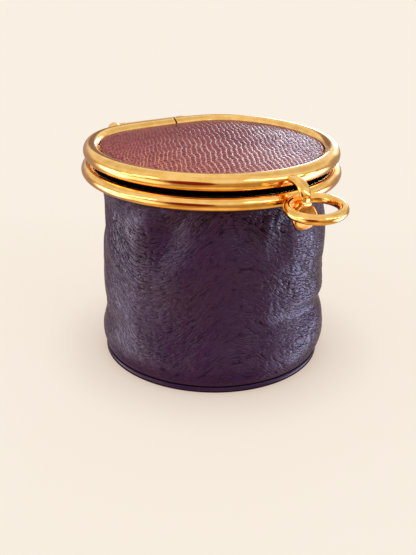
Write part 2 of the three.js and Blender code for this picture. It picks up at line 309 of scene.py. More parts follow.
class NodeBench:
    """Nodes of a material or the world, with short ways to add and join them."""

    def __init__(self, owner: bpy.types.Material | bpy.types.World) -> None:
        """Clears the owner's nodes."""
        owner.use_nodes = True
        self.owner = owner
        self.tree = owner.node_tree
        self.tree.nodes.clear()

    @classmethod
    def material(cls, name: str) -> NodeBench:
        """Starts a new material of that name."""
        return cls(bpy.data.materials.new(name))

    def add(self, kind: str, inputs: dict[Any, SocketValue] | None = None, **settings: Any) -> bpy.types.Node:
        """Adds one node.

        Args:
            kind: Blender's name of the node, without its ShaderNode prefix.
            inputs: Values or sockets for the node's inputs.
            settings: The node's own settings.

        Returns:
            The new node.
        """
        node = self.tree.nodes.new("ShaderNode" + kind)
        for key, value in settings.items():
            setattr(node, key, value)
        for key, value in (inputs or {}).items():
            if isinstance(value, Socket):
                self.tree.links.new(value, node.inputs[key])
            else:
                node.inputs[key].default_value = value
        return node

    def millimetres(self) -> Socket:
        """Gives the piece's own coordinates in millimetres."""
        place = self.add("TexCoord").outputs["Object"]
        return self.add("Mapping", {"Vector": place, "Scale": (1 / MM,) * 3}).outputs["Vector"]

    def noise(self, place: Socket, scale: float, detail: float = 3.0, roughness: float = 0.5) -> Socket:
        """Gives cloudy noise with a scale per millimetre."""
        inputs = {"Vector": place, "Scale": scale, "Detail": detail, "Roughness": roughness}
        return self.add("TexNoise", inputs).outputs["Fac"]

    def remap(self, value: Socket, source: tuple[float, float], target: tuple[float, float]) -> Socket:
        """Maps a value smoothly from one range to another."""
        (low, high), (start, end) = source, target
        inputs = {"Value": value, "From Min": low, "From Max": high, "To Min": start, "To Max": end}
        return self.add("MapRange", inputs, interpolation_type="SMOOTHSTEP").outputs["Result"]

    def blend(self, share: Socket, first: Socket | Colour, second: Socket | Colour) -> Socket:
        """Mixes two colours by a share."""
        first = first if isinstance(first, Socket) else (*first, 1.0)
        second = second if isinstance(second, Socket) else (*second, 1.0)
        return self.add("Mix", {0: share, 6: first, 7: second}, data_type="RGBA").outputs[2]

    def bump(self, height: Socket, strength: float, depth: float, under: Socket | None = None) -> Socket:
        """Gives a bumped normal.

        Args:
            height: Relief from 0 to 1.
            strength: Share of the relief that shows.
            depth: Height of the full relief in millimetres.
            under: Normal that this relief lies on.

        Returns:
            The new normal.
        """
        inputs: dict[Any, SocketValue] = {"Height": height, "Strength": strength, "Distance": depth * MM}
        if under is not None:
            inputs["Normal"] = under
        return self.add("Bump", inputs).outputs["Normal"]

    def attribute(self, name: str) -> Socket:
        """Gives a number kept on the piece's vertices."""
        return self.add("Attribute", attribute_name=name).outputs["Fac"]

    def sum(self, kind: str, *numbers: SocketValue) -> Socket:
        """Joins up to three numbers by one kind of sum, with 0 for those left out."""
        inputs = dict(enumerate((*numbers, 0.0, 0.0)[:3]))
        return self.add("Math", inputs, operation=kind).outputs[0]

    def unrolled(self, radius: float) -> Socket:
        """Gives places on a round wall laid flat, in millimetres, with the join at the hinge."""
        axes = self.add("SeparateXYZ", {0: self.millimetres()}).outputs
        turn = self.sum("ARCTAN2", axes["X"], self.sum("MULTIPLY", axes["Y"], -1.0))
        around = self.sum("MULTIPLY", turn, radius)
        return self.add("CombineXYZ", {"X": around, "Y": axes["Z"]}).outputs[0]

    def crackle(self, place: Socket, length: float, width: float) -> Socket:
        """Gives fine pads with long creases between them, drawn out sideways.

        Args:
            place: Places on the flat wall, in millimetres.
            length: Length of a pad in millimetres.
            width: Width of a pad in millimetres.

        Returns:
            Relief from 0 in the creases to 1 on the pads.
        """
        stray = self.add("TexNoise", {"Vector": place, "Scale": 0.3, "Detail": 2.0}).outputs["Color"]
        inputs = {0: stray, 1: STRAY_REACH, 2: place}
        bent = self.add("VectorMath", inputs, operation="MULTIPLY_ADD").outputs[0]
        inputs = {"Vector": bent, "Scale": (length, width, 1.0)}
        pads = self.add("Mapping", inputs, vector_type="TEXTURE").outputs[0]
        relief: SocketValue = 0.0
        for scale, share, reach in CRACKLE_LAYERS:
            ridges = self.noise(pads, scale, 0.8, 0.5)
            fold = self.sum("ABSOLUTE", self.sum("SUBTRACT", ridges, 0.5))
            relief = self.sum("MULTIPLY_ADD", self.remap(fold, (0.0, reach), (0.0, 1.0)), share, relief)
        return relief

    def finish(self, inputs: dict[Any, SocketValue]) -> bpy.types.Material:
        """Ends the material in one surface shader with these inputs."""
        shader = self.add("BsdfPrincipled", inputs)
        self.add("OutputMaterial", {"Surface": shader.outputs[0]})
        return self.owner


@dataclass(frozen=True)
class Gilt:
    """Polished gilt brass with faint clouding, hairlines and a few pits."""

    name: str
    bright: Colour = (1.0, 0.63, 0.22)
    deep: Colour = (0.93, 0.52, 0.14)
    pit: Colour = (0.26, 0.13, 0.04)
    gloss: tuple[float, float] = (0.06, 0.13)

    def make(self) -> bpy.types.Material:
        """Builds the material."""
        bench = NodeBench.material(self.name)
        place = bench.millimetres()
        clouds = bench.noise(place, 0.35, 4.0)
        specks = bench.noise(place, 1.9, 2.0)
        pits = bench.remap(specks, (0.71, 0.76), (0.0, 0.75))
        tone = bench.blend(bench.remap(clouds, (0.35, 0.65), (0.0, 1.0)), self.bright, self.deep)
        colour = bench.blend(pits, tone, self.pit)
        gloss = bench.remap(bench.noise(place, 0.9, 5.0, 0.65), (0.3, 0.75), self.gloss)
        waves = bench.bump(bench.noise(place, 0.45, 2.0), 0.25, 0.06)
        normal = bench.bump(specks, 0.12, 0.02, waves)
        return bench.finish({"Base Color": colour, "Metallic": 1.0, "Roughness": gloss, "Normal": normal})


@dataclass(frozen=True)
class PouchLeather:
    """Soft aubergine leather with a fine wrinkled grain and a cool sheen, its creases painted darker and less
    shiny as shade.
    """

    name: str
    pad: Colour = (0.044, 0.015, 0.070)
    # Painted shade laid into the wall's creases and the crackle's seams
    crease: Colour = (0.006, 0.002, 0.008)
    warm: Colour = (0.054, 0.018, 0.066)
    gloss: tuple[float, float] = (0.14, 0.22)
    crinkle_depth: float = 0.15
    sheen: tuple[float, float] = (0.06, 0.37)
    sheen_tint: Colour = (0.88, 0.88, 1.0)
    wall_radius: float = BASE_RADIUS
    pad_length: float = 3.0
    pad_width: float = 0.85

    def make(self) -> bpy.types.Material:
        """Builds the material."""
        bench = NodeBench.material(self.name)
        place = bench.millimetres()
        patches = bench.remap(bench.noise(place, 0.08, 3.0), (0.35, 0.7), (0.0, 0.7))
        pad = bench.blend(patches, self.pad, self.warm)
        # Painted shade: the wall's creases and the seams between the crackle's pads are coloured darker, and
        # the seams also reflect less
        creases = bench.remap(bench.attribute("crease"), (0.25, 1.0), (0.0, 0.6))
        gloss = bench.remap(bench.noise(place, 0.5, 4.0), (0.3, 0.7), self.gloss)
        pads = self.pads(bench)
        depth = bench.attribute("crinkle")
        painted_seam_shade = bench.sum("MULTIPLY", bench.remap(pads, (0.0, 0.55), (1.0, 0.0)), depth)
        colour = bench.blend(bench.sum("MAXIMUM", creases, painted_seam_shade), pad, self.crease)
        # The sheen mark dims the reflection at the foot, under the rim and at the lip, as painted shade
        sheen = bench.remap(bench.attribute("sheen"), (0.0, 1.0), self.sheen)
        crinkle = bench.bump(bench.sum("MULTIPLY", pads, depth), 1.0, self.crinkle_depth)
        pores = bench.bump(bench.noise(place, 2.6, 3.0, 0.6), 0.25, 0.04, crinkle)
        return bench.finish({
            "Base Color": colour,
            "Roughness": gloss,
            "Specular IOR Level": bench.sum("MULTIPLY", sheen, bench.remap(painted_seam_shade, (0.1, 0.9), (1.0, 0.1))),
            "Specular Tint": (*self.sheen_tint, 1.0),
            "Normal": pores,
        })

    def pads(self, bench: NodeBench) -> Socket:
        """Gives the crinkled pads, drawn out along the arcs that the wall's mark gives."""
        lift = bench.add("CombineXYZ", {"Y": bench.attribute("lift")}).outputs[0]
        flat = bench.unrolled(self.wall_radius)
        arcs = bench.add("VectorMath", {0: flat, 1: lift}, operation="SUBTRACT").outputs[0]
        return bench.crackle(arcs, self.pad_length, self.pad_width)


@dataclass(frozen=True)
class ScaleLeather:
    """Burgundy leather with a pressed scale grain, its lines painted as highlights to the left and front and
    as shade to the right and back.
    """

    name: str
    scale: Colour = (0.195, 0.016, 0.030)
    pale: Colour = (0.300, 0.040, 0.060)
    # Colours painted on the lines between scales: pale and coral painted highlights, and a dark painted shade
    painted_glint: Colour = (0.900, 0.500, 0.470)
    painted_coral_glint: Colour = (1.000, 0.400, 0.260)
    deep: Colour = (0.030, 0.003, 0.008)
    sheen: float = 0.2
    gloss: tuple[float, float] = (0.13, 0.20)
    scallop: float = SCALLOP
    line_width: float = 0.15

    def make(self) -> bpy.types.Material:
        """Builds the material."""
        bench = NodeBench.material(self.name)
        place = bench.millimetres()
        # The wear mark tells where the lines take painted highlights rather than painted shade
        wear = bench.attribute("wear")
        line, tone = self.scales(bench)
        scale = bench.blend(tone, self.scale, self.pale)
        # Lines run from dark painted shade at the right and back to pale painted highlights, then coral ones
        # at the front left
        painted_glint = bench.remap(wear, (0.32, 0.56), (0.0, 1.0))
        painted_line_light = bench.blend(painted_glint, self.deep, self.painted_glint)
        painted_line_light = bench.blend(bench.remap(wear, (0.6, 0.95), (0.0, 1.0)), painted_line_light, self.painted_coral_glint)
        colour = bench.blend(line, scale, painted_line_light)
        # Coral specks of painted highlight towards the front left
        specks = bench.remap(bench.noise(place, 2.0, 2.0), (0.56, 0.68), (0.0, 0.6))
        specks = bench.sum("MULTIPLY", specks, bench.remap(wear, (0.55, 0.85), (0.0, 1.0)))
        colour = bench.blend(specks, colour, self.painted_coral_glint)
        gloss = bench.remap(bench.noise(place, 0.6, 4.0), (0.3, 0.7), self.gloss)
        sunk = bench.sum("MULTIPLY", line, bench.sum("SUBTRACT", painted_glint, 0.75))
        # Lines in painted shade also reflect less
        painted_shade_lines = bench.sum("MULTIPLY", line, bench.sum("SUBTRACT", 1.0, painted_glint))
        pressed = bench.bump(sunk, 1.0, 0.08)
        pores = bench.bump(bench.noise(place, 3.2, 3.0, 0.6), 0.3, 0.04, pressed)
        return bench.finish({
            "Base Color": colour,
            "Roughness": gloss,
            "Specular IOR Level": bench.remap(painted_shade_lines, (0.0, 0.8), (self.sheen, 0.0)),
            "Normal": pores,
        })

    def scales(self, bench: NodeBench) -> tuple[Socket, Socket]:
        """Draws the scales from the panel's marks.

        Args:
            bench: The material's nodes.

        Returns:
            Strength of the lines between scales, and each scale's own tone, both from 0 to 1.
        """
        along = bench.attribute("along")
        rows = bench.attribute("rows")
        swing = bench.sum("SUBTRACT", along, self.stagger(bench, bench.sum("FLOOR", rows)))
        arc = bench.sum("ABSOLUTE", bench.sum("SINE", bench.sum("MULTIPLY", swing, math.pi)))
        bowed = bench.sum("MULTIPLY_ADD", arc, self.scallop, rows)
        row = bench.sum("FLOOR", bowed)
        cell = bench.sum("SUBTRACT", along, self.stagger(bench, row))
        spot = bench.add("CombineXYZ", {"X": bench.sum("FLOOR", cell), "Y": row}).outputs[0]
        chance = bench.add("TexWhiteNoise", {"Vector": spot}, noise_dimensions="2D").outputs
        strength = bench.remap(chance["Value"], (0.0, 0.85), (0.2, 1.0))
        front = bench.remap(bench.sum("PINGPONG", bowed, 0.5), (0.02, self.line_width), (1.0, 0.0))
        side = bench.remap(bench.sum("PINGPONG", cell, 0.5), (0.02, self.line_width), (0.7, 0.0))
        line = bench.sum("MULTIPLY", bench.sum("MAXIMUM", front, side), strength)
        line = bench.sum("MULTIPLY", line, bench.attribute("press"))
        return line, bench.add("SeparateXYZ", {0: chance["Color"]}).outputs["Y"]

    def stagger(self, bench: NodeBench, row: Socket) -> Socket:
        """Gives the half step that every second row is moved along."""
        return bench.sum("MULTIPLY", bench.sum("FLOORED_MODULO", row, 2.0), 0.5)


@dataclass(frozen=True)
class Lining:
    """Plain dark suede inside the purse, also laid on the wall's lip in the gap between the rings as painted
    shade.
    """

    name: str
    nap: Colour = (0.014, 0.008, 0.012)
    brushed: Colour = (0.024, 0.014, 0.020)

    def make(self) -> bpy.types.Material:
        """Builds the material."""
        bench = NodeBench.material(self.name)
        place = bench.millimetres()
        strokes = bench.remap(bench.noise(place, 0.25, 4.0), (0.35, 0.65), (0.0, 1.0))
        normal = bench.bump(bench.noise(place, 4.0, 3.0), 0.35, 0.08)
        return bench.finish({
            "Base Color": bench.blend(strokes, self.nap, self.brushed),
            "Roughness": 0.9,
            "Specular IOR Level": 0.05,
            "Normal": normal,
        })


def smooth_through(place: np.ndarray, stops: np.ndarray, values: np.ndarray) -> np.ndarray:
    """Reads a smooth curve through a table.

    Args:
        place: Where to read the curve.
        stops: The table's places, rising.
        values: The table's values.

    Returns:
        The curve's values.
    """
    slopes = np.gradient(values, stops)
    low = np.clip(np.searchsorted(stops, place) - 1, 0, len(stops) - 2)
    span = stops[low + 1] - stops[low]
    t = np.clip((place - stops[low]) / span, 0.0, 1.0)
    start = (2 * t**3 - 3 * t**2 + 1) * values[low] + (t**3 - 2 * t**2 + t) * span * slopes[low]
    end = (3 * t**2 - 2 * t**3) * values[low + 1] + (t**3 - t**2) * span * slopes[low + 1]
    return start + end


def fade(value: np.ndarray, low: float, high: float) -> np.ndarray:
    """Rises smoothly from 0 at low to 1 at high."""
    t = np.clip((value - low) / (high - low), 0.0, 1.0)
    return t * t * (3 - 2 * t)


def turned_from(bearing: np.ndarray, middle: float) -> np.ndarray:
    """Gives bearings as turns from a middle one, from -180 to 180 degrees."""
    return (bearing - middle + 180.0) % 360.0 - 180.0


def direction(turn: np.ndarray | float, rise: np.ndarray | float) -> np.ndarray:
    """Gives unit directions from turns off -Y and rises from level, in radians."""
    return np.stack([np.sin(turn) * np.cos(rise), -np.cos(turn) * np.cos(rise), np.sin(rise)], -1)


@dataclass(frozen=True)
class RingOutline:
    """Plan shape of both frame rings: a circle with one straight side at the hinge."""

    straight: float = 26.8
    sharpness: float = 15.0
    # Sine of the angle from which the straight side counts
    side_start: float = 0.3
    # Turn to each side, in radians, over which the outline's way is read
    look: float = 0.01

    def reach(self, angle: np.ndarray, radius: float) -> np.ndarray:
        """Gives the distance from the purse axis to a ring's centre line."""
        side = self.straight / np.maximum(np.sin(angle), self.side_start)
        power = -self.sharpness
        rounded = (radius**power + side**power) ** (1 / power)
        return np.where(np.sin(angle) < self.side_start, radius, rounded)

    def point(self, angle: np.ndarray, radius: float, inset: np.ndarray | float = 0.0) -> np.ndarray:
        """Gives points on a ring's outline.

        Args:
            angle: Directions from the purse axis, in radians from +X.
            radius: Radius of the ring's round part.
            inset: How far the points lie inside the outline.

        Returns:
            X and Y, one row for each angle.
        """
        def on_ring(a: np.ndarray) -> np.ndarray:
            """Gives the outline's own points."""
            return np.stack([np.cos(a), np.sin(a)], -1) * self.reach(a, radius)[:, None]

        along = on_ring(angle + self.look) - on_ring(angle - self.look)
        along /= np.linalg.norm(along, axis=1)[:, None]
        inwards = np.stack([-along[:, 1], along[:, 0]], -1)
        return on_ring(angle) + inwards * np.broadcast_to(inset, angle.shape)[:, None]

    def bend_tube(self, places: np.ndarray, radius: float) -> np.ndarray:
        """Bends a round ring's tube to the outline.

        Args:
            places: The tube's vertices round a circle.
            radius: Radius of its centre line.

        Returns:
            The vertices round the outline.
        """
        angle = np.arctan2(places[:, 1], places[:, 0])
        outside = np.hypot(places[:, 0], places[:, 1]) - radius
        return np.column_stack([self.point(angle, radius, -outside), places[:, 2]])

    def tube(self, name: str, radius: float, tube: float, height: float) -> Workpiece:
        """Makes one ring of tube at a height, bent to the outline."""
        ring = Workpiece.ring(name, radius, tube, (256, 72), location=(0.0, 0.0, height * MM))
        ring.reshape(lambda places: self.bend_tube(places, radius))
        return ring


OUTLINE = RingOutline()


@dataclass
class Hinge:
    """Pin with one round head at the back, with eye plates on the rim and a barrel on the lid."""

    y: float = 30.9
    z: float = 55.7
    pin_radius: float = 0.45
    bore_radius: float = 0.75
    barrel_radius: float = 1.1
    barrel_length: float = 16.0
    web_length: float = 12.0
    web_height: float = 1.2
    # The web's two ends: out from the lid ring's centre line, and in from the hinge axis
    web_ends: tuple[float, float] = (1.05, 0.9)
    ear_foot: float = 0.67
    ear_radius: float = 1.2
    ear_width: float = 1.8
    ear_middle: float = 9.3
    head_radius: float = 1.65
    head_middle: float = 12.2
    rivet_radius: float = 1.0
    rivet_start: float = 10.5
    rivet_length: float = 0.7
    rim_height: float = RIM_HEIGHT

    def bar(self, name: str, radius: float, length: float) -> Workpiece:
        """Adds a round bar on the hinge axis."""
        return Workpiece.bar(name, radius, length, 40, (0.0, self.y, self.z))

    def build_barrel(self) -> Workpiece:
        """Makes the lid's barrel: a bored bar on a web."""
        barrel = self.bar("hinge_barrel", self.barrel_radius, self.barrel_length)
        barrel.pick(Part.FACE, lambda face, middle: abs(face.normal.x) > 0.9)
        bpy.ops.mesh.inset(thickness=(self.barrel_radius - self.bore_radius) * MM)
        bpy.ops.mesh.bridge_edge_loops()
        barrel.settle(35.0)
        near = OUTLINE.straight + self.web_ends[0]
        far = self.y - self.web_ends[1]
        size = Vector((self.web_length, far - near, self.web_height)) * MM
        place = Vector((0.0, (far + near) / 2, self.z)) * MM
        web = Workpiece("hinge_web", bpy.ops.mesh.primitive_cube_add, size=1.0, scale=size, location=place)
        web.pick(Part.EDGE, lambda edge, middle: abs(edge.verts[0].co.x - edge.verts[1].co.x) < 1e-6)
        web.bevel(0.25, 3)
        web.settle()
        barrel.take_in(web)
        return barrel

    def ear_outline(self) -> np.ndarray:
        """Gives the eye plate's outline, as Y and Z."""
        foot = OUTLINE.straight + self.ear_foot
        inner = self.y - self.ear_radius
        outer = self.y + self.ear_radius
        rim = self.rim_height
        turns = np.linspace(0.0, math.pi, 17)
        eye = np.column_stack([np.cos(turns), np.sin(turns)]) * self.ear_radius + (self.y, self.z)
        low = [(foot, rim - 0.9), (inner, rim - 0.9), (outer, rim + 1.5)]
        back = [(inner, rim + 1.6), (foot, rim + 0.9)]
        return np.vstack([low, eye, back])

    def build_ear(self) -> Workpiece:
        """Makes one of the rim's eye plates."""
        outline = self.ear_outline()
        start = -self.ear_middle - self.ear_width / 2
        ear = Workpiece.loop("rim_ear_left", len(outline), "NGON")
        ear.reshape(lambda _: np.insert(outline, 0, start, axis=1))
        ear.pick_all()
        ear.extrude((self.ear_width, 0.0, 0.0))
        ear.settle()
        ear.cut_with(self.bar("ear_bore", self.bore_radius, 2.5 * self.head_middle))
        ear.apply("BEVEL", width=0.12 * MM, segments=2, limit_method="ANGLE", angle_limit=math.radians(40))
        ear.settle()
        return ear

    def build_pin(self) -> Workpiece:
        """Spins the pin from its profile: a round head, the rod and a flat riveted end."""
        meet = math.asin(self.pin_radius / self.head_radius)
        turns = np.linspace(0.0, math.pi - meet, 15)
        head = np.column_stack([-np.cos(turns), np.sin(turns)]) * self.head_radius - (self.head_middle, 0.0)
        end = self.rivet_start + self.rivet_length
        rivet = [
            (self.rivet_start, self.pin_radius),
            (self.rivet_start, self.rivet_radius),
            (end - 0.2, self.rivet_radius),
            (end - 0.05, self.rivet_radius - 0.08),
            (end, self.rivet_radius - 0.25),
            (end, 0.0),
        ]
        profile = np.vstack([head, rivet])
        pin = Workpiece.loop("hinge_pin_rod", len(profile))
        pin.reshape(lambda _: np.insert(profile, 1, 0.0, axis=1) + (0.0, self.y, self.z))
        pin.pick(Part.EDGE, lambda edge, middle: edge.calc_length() > (self.head_middle + end) * MM)
        bpy.ops.mesh.delete(type="EDGE")
        pin.pick_all()
        bpy.ops.mesh.spin(steps=40, angle=TURN, center=(0.0, self.y * MM, self.z * MM), axis=(1.0, 0.0, 0.0))
        pin.settle()
        return pin


@dataclass
class LidFrame:
    """Upper ring with its butt seam, hinge barrel, clasp hook, shoulder and thumb tab."""

    hinge: Hinge
    gilt: bpy.types.Material
    # Darker, browner gilt for the thumb tab, as painted shade
    shaded_tab_gilt: bpy.types.Material
    seam_shade: bpy.types.Material
    radius: float = LID_RADIUS
    tube: float = 2.1
    height: float = LID_HEIGHT
    seam_x: float = 4.5
    seam_half: float = 0.25
    seam_depth: float = 0.32
    hook_sides: int = 28
    hook_steps: int = 36
    shoulder: Point = (0.0, -38.0, 51.3)
    shoulder_radius: float = 0.8
    shoulder_length: float = 2.6
    tab: Point = (0.0, -38.1, 48.2)
    tab_half_height: float = 3.15
    tab_top: float = 3.0
    tab_bottom: float = 3.8
    tab_thick: float = 1.2
    tab_tilt: float = 6.0
    tab_dome: float = 0.16
    tab_bend: float = 0.6
    tab_insets: tuple[float, ...] = (0.22, 0.28, 0.28)
    # Hook's bar from the ring out, down and in under the pull ring: out, up, thick, wide
    hook: tuple[tuple[float, float, float, float], ...] = (
        (31.4, 0.1, 1.7, 3.0),
        (34.2, 0.2, 1.8, 3.1),
        (36.2, -0.3, 1.85, 3.1),
        (37.5, -1.6, 1.85, 3.05),
        (37.85, -3.0, 1.75, 2.9),
        (37.75, -4.6, 1.45, 2.4),
        (36.85, -5.95, 1.3, 2.4),
        (35.6, -6.4, 1.1, 2.3),
        (34.5, -6.05, 0.8, 2.1),
    )

    def build(self) -> None:
        """Builds and installs the lid's gilt pieces."""
        tube = self.build_tube()
        tube.install(Body.LID, "lid_ring", "lid_gilt", self.gilt, self.seam_shade)
        tube.refinish(self.on_seam)
        for piece in (self.hinge.build_barrel(), self.build_hook(), self.build_shoulder()):
            piece.install(Body.LID, "lid_ring", "lid_gilt", self.gilt)
        self.build_tab().install(Body.LID, "lid_ring", "lid_gilt", self.shaded_tab_gilt)

    def on_seam(self, face: bpy.types.MeshPolygon) -> bool:
        """Says whether a face of the tube lies in its seam."""
        return face.center.y > 0.0 and abs(face.center.x / MM - self.seam_x) < self.seam_half

    def build_tube(self) -> Workpiece:
        """Makes the ring's tube, with a groove where its ends meet."""
        tube = OUTLINE.tube("lid_tube", self.radius, self.tube, self.height)
        for shift in (-self.seam_half, self.seam_half, 0.0):
            tube.pick(Part.FACE, lambda face, middle: middle.y > 15 and abs(middle.x - self.seam_x) < 4)
            place = ((self.seam_x + shift) * MM, 0.0, 0.0)
            bpy.ops.mesh.bisect(plane_co=place, plane_no=(1.0, 0.0, 0.0), threshold=1e-8)
        sunk = 1 - self.seam_depth / self.tube
        tube.resize((1.0, sunk, sunk), (self.seam_x, OUTLINE.straight, self.height))
        tube.settle(60.0)
        return tube

    def build_hook(self) -> Workpiece:
        """Sweeps the hook's bar by extruding one section along its path."""
        table = np.array(self.hook)
        stops = np.arange(len(table), dtype=float)
        steps = np.linspace(0.0, len(table) - 1, self.hook_steps + 1)
        out, up, thick, wide = (smooth_through(steps, stops, column) for column in table.T)
        middles = np.column_stack([np.zeros_like(out), -out, self.height + up])
        run = np.gradient(middles, axis=0)
        lean = np.degrees(np.unwrap(np.arctan2(-run[:, 1], run[:, 2])))
        bar = Workpiece.loop("clasp_hook", self.hook_sides, "NGON")
        bar.reshape(lambda places: places * (wide[0] / 2, thick[0] / 2, 0.0))
        facing = Matrix.Rotation(math.radians(lean[0]), 3, "X")
        bar.reshape(lambda places: places @ np.array(facing).T + middles[0])
        bar.pick_all()
        for step in range(1, len(steps)):
            bar.extrude(middles[step] - middles[step - 1])
            bar.turn(lean[step] - lean[step - 1], "X", middles[step])
            slim = thick[step] / thick[step - 1]
            bar.resize((wide[step] / wide[step - 1], slim, slim), middles[step])
        bpy.ops.mesh.inset(thickness=0.12 * MM)
        bar.settle(50.0)
        return bar

    def build_shoulder(self) -> Workpiece:
        """Makes the small cross bar above the tab."""
        bar = Workpiece.bar("clasp_shoulder", self.shoulder_radius, self.shoulder_length, 36, self.shoulder)
        bar.pick(Part.EDGE, lambda edge, middle: abs(middle.x) > self.shoulder_length / 2 - 0.01)
        bar.bevel(0.25, 4)
        bar.settle()
        return bar

    def build_tab(self) -> Workpiece:
        """Makes the thumb tab: a soft-edged disc, wider to its bottom and bent back a little there."""
        tab = Workpiece(
            "clasp_tab", bpy.ops.mesh.primitive_cylinder_add, vertices=72, radius=MM,
            depth=self.tab_thick * MM, rotation=(math.pi / 2, 0.0, 0.0),
        )
        for thickness in self.tab_insets:
            tab.pick(Part.FACE, lambda face, middle: face.normal.y < -0.9 and len(face.verts) > 4)
            bpy.ops.mesh.inset(thickness=thickness * MM)
        tab.reshape(self.tab_places)
        tab.pick(Part.EDGE, lambda edge, middle: edge.calc_face_angle(0.0) > 0.7)
        tab.bevel(0.28, 4)
        tab.settle(30.0)
        return tab

    def tab_places(self, disc: np.ndarray) -> np.ndarray:
        """Draws the flat disc out to the tab's shape and stands it in its place."""
        upwards = disc[:, 2]
        half_width = self.tab_bottom + (self.tab_top - self.tab_bottom) * (upwards + 1) / 2
        x = disc[:, 0] * half_width
        z = upwards * self.tab_half_height
        front = fade(-disc[:, 1], 0.0, self.tab_thick / 2)
        dome = self.tab_dome * front * (1 - np.minimum(np.hypot(disc[:, 0], upwards), 1.0) ** 2)
        bend = self.tab_bend * np.clip(-upwards - 0.1, 0.0, 1.0) ** 2 * front
        tilt = Matrix.Rotation(-math.radians(self.tab_tilt), 3, "X")
        return np.column_stack([x, disc[:, 1] - dome + bend, z]) @ np.array(tilt).T + self.tab


@dataclass
class RimFrame:
    """Lower ring that holds the pouch, with the hinge's eye plates and pin."""

    hinge: Hinge
    gilt: bpy.types.Material
    pin_gilt: bpy.types.Material
    radius: float = RIM_RADIUS
    tube: float = 1.68
    height: float = RIM_HEIGHT

    def build(self) -> None:
        """Builds and installs the rim's gilt pieces."""
        ring = OUTLINE.tube("rim_tube", self.radius, self.tube, self.height)
        ring.settle(60.0)
        left = self.hinge.build_ear()
        right = left.copy_to("rim_ear_right", (2 * self.hinge.ear_middle, 0.0, 0.0))
        for piece in (ring, left, right):
            piece.install(Body.PURSE, "rim_ring", "rim_gilt", self.gilt)
        self.hinge.build_pin().install(Body.PURSE, "hinge_pin", "pin_gilt", self.pin_gilt)


@dataclass
class PullRing:
    """Loose wire ring that hangs in the clasp hook's eye."""

    gilt: bpy.types.Material
    radius: float = 6.2
    wire: float = 1.2
    pivot: Point = (0.0, -35.4, 51.5)
    droop: float = 3.0
    twist: float = 4.0
    # Share of the wire's full thickness: its mean and its swing
    thinning: tuple[float, float] = (0.985, 0.012)

    def build(self) -> None:
        """Builds and installs the ring."""
        droop = Matrix.Rotation(math.radians(self.droop), 3, "X")
        lie = droop @ Matrix.Rotation(-math.radians(self.twist), 3, "Y")
        centre = Vector(self.pivot) + lie @ Vector((0.0, -self.radius, 0.0))
        pose = {"location": centre * MM, "rotation": lie.to_euler()}
        ring = Workpiece.ring("pull_wire", self.radius, self.wire, (128, 32), **pose)
        ring.reshape(lambda places: self.wear(places, centre))
        ring.settle(60.0)
        ring.install(Body.PULL, "pull_ring", "pull_gilt", self.gilt)

    def wear(self, places: np.ndarray, centre: Vector) -> np.ndarray:
        """Draws the wire in a little here and there, as hand-closed wire is."""
        around = np.arctan2(places[:, 1] - centre.y, places[:, 0] - centre.x)
        spokes = np.column_stack([np.cos(around), np.sin(around), np.zeros_like(around)])
        middle = spokes * self.radius + np.array(centre)
        mean, swing = self.thinning
        thin = mean + swing * np.cos(3 * around + 0.6)
        return middle + (places - middle) * thin[:, None]


@dataclass(frozen=True)
class ScaleGrain:
    """Rows of small scales pressed into the lid's leather."""

    heading: float = 66.0
    # Row pitch at places across the rows, from the right
    row_pitch: tuple[tuple[float, float], ...] = ((-24, 1.15), (-10, 1.3), (-2, 1.5), (8, 1.3), (20, 0.85))
    scale_length: float = 1.5
    scallop: float = SCALLOP
    # Rise of a scale, how wide its edge is in scales, its fall across the row and its own lean
    dome: float = 0.06
    dome_edge: float = 0.2
    fall: float = 0.06
    lean: float = 0.06
    seed: int = 11
    # Scales each way before the leans come round again
    spread: int = 128

    def lattice(self, x: np.ndarray, y: np.ndarray) -> tuple[np.ndarray, np.ndarray]:
        """Gives each place along and across the rows, in scales."""
        turn = math.radians(self.heading)
        along = x * math.cos(turn) + y * math.sin(turn)
        across = y * math.cos(turn) - x * math.sin(turn)
        across = across + 0.8 * np.sin(along / 10.0 + 0.6) + 0.25 * np.sin(along / 1.9 + across / 2.2)
        across = across + 0.12 * np.sin(along / 0.8 + across / 1.1)
        along = along + 0.8 * np.sin(across / 7.0 + 1.0)
        stops = np.linspace(-40.0, 40.0, 321)
        table = np.array(self.row_pitch)
        pitch = np.interp(stops, table[:, 0], table[:, 1])
        rows = np.concatenate([[0.0], np.cumsum(np.diff(stops) / pitch[1:])])
        return along / self.scale_length, np.interp(across, stops, rows)

    def relief(self, x: np.ndarray, y: np.ndarray) -> tuple[np.ndarray, np.ndarray, np.ndarray]:
        """Gives the grain at each place.

        Args:
            x: Places along X.
            y: Places along Y.

        Returns:
            Relief in millimetres, and the place along and across the rows, in scales.
        """
        u, v = self.lattice(x, y)
        arc = np.abs(np.sin(math.pi * (u - 0.5 * (np.floor(v) % 2))))
        bowed = v + self.scallop * arc
        row = np.floor(bowed).astype(int)
        across = bowed - row
        cell = u - 0.5 * (row % 2)
        column = np.floor(cell).astype(int)
        side = cell - column
        chance = np.random.default_rng(self.seed).random((self.spread, self.spread, 2))
        lean = chance[row % self.spread, column % self.spread] - 0.5
        edge = np.minimum(np.minimum(across, 1 - across), np.minimum(side, 1 - side))
        dome = self.dome * (1 - np.exp(-edge / self.dome_edge)) + self.fall * (0.5 - across)
        return dome + self.lean * (lean[:, 0] * (side - 0.5) + lean[:, 1] * (across - 0.5)), u, v


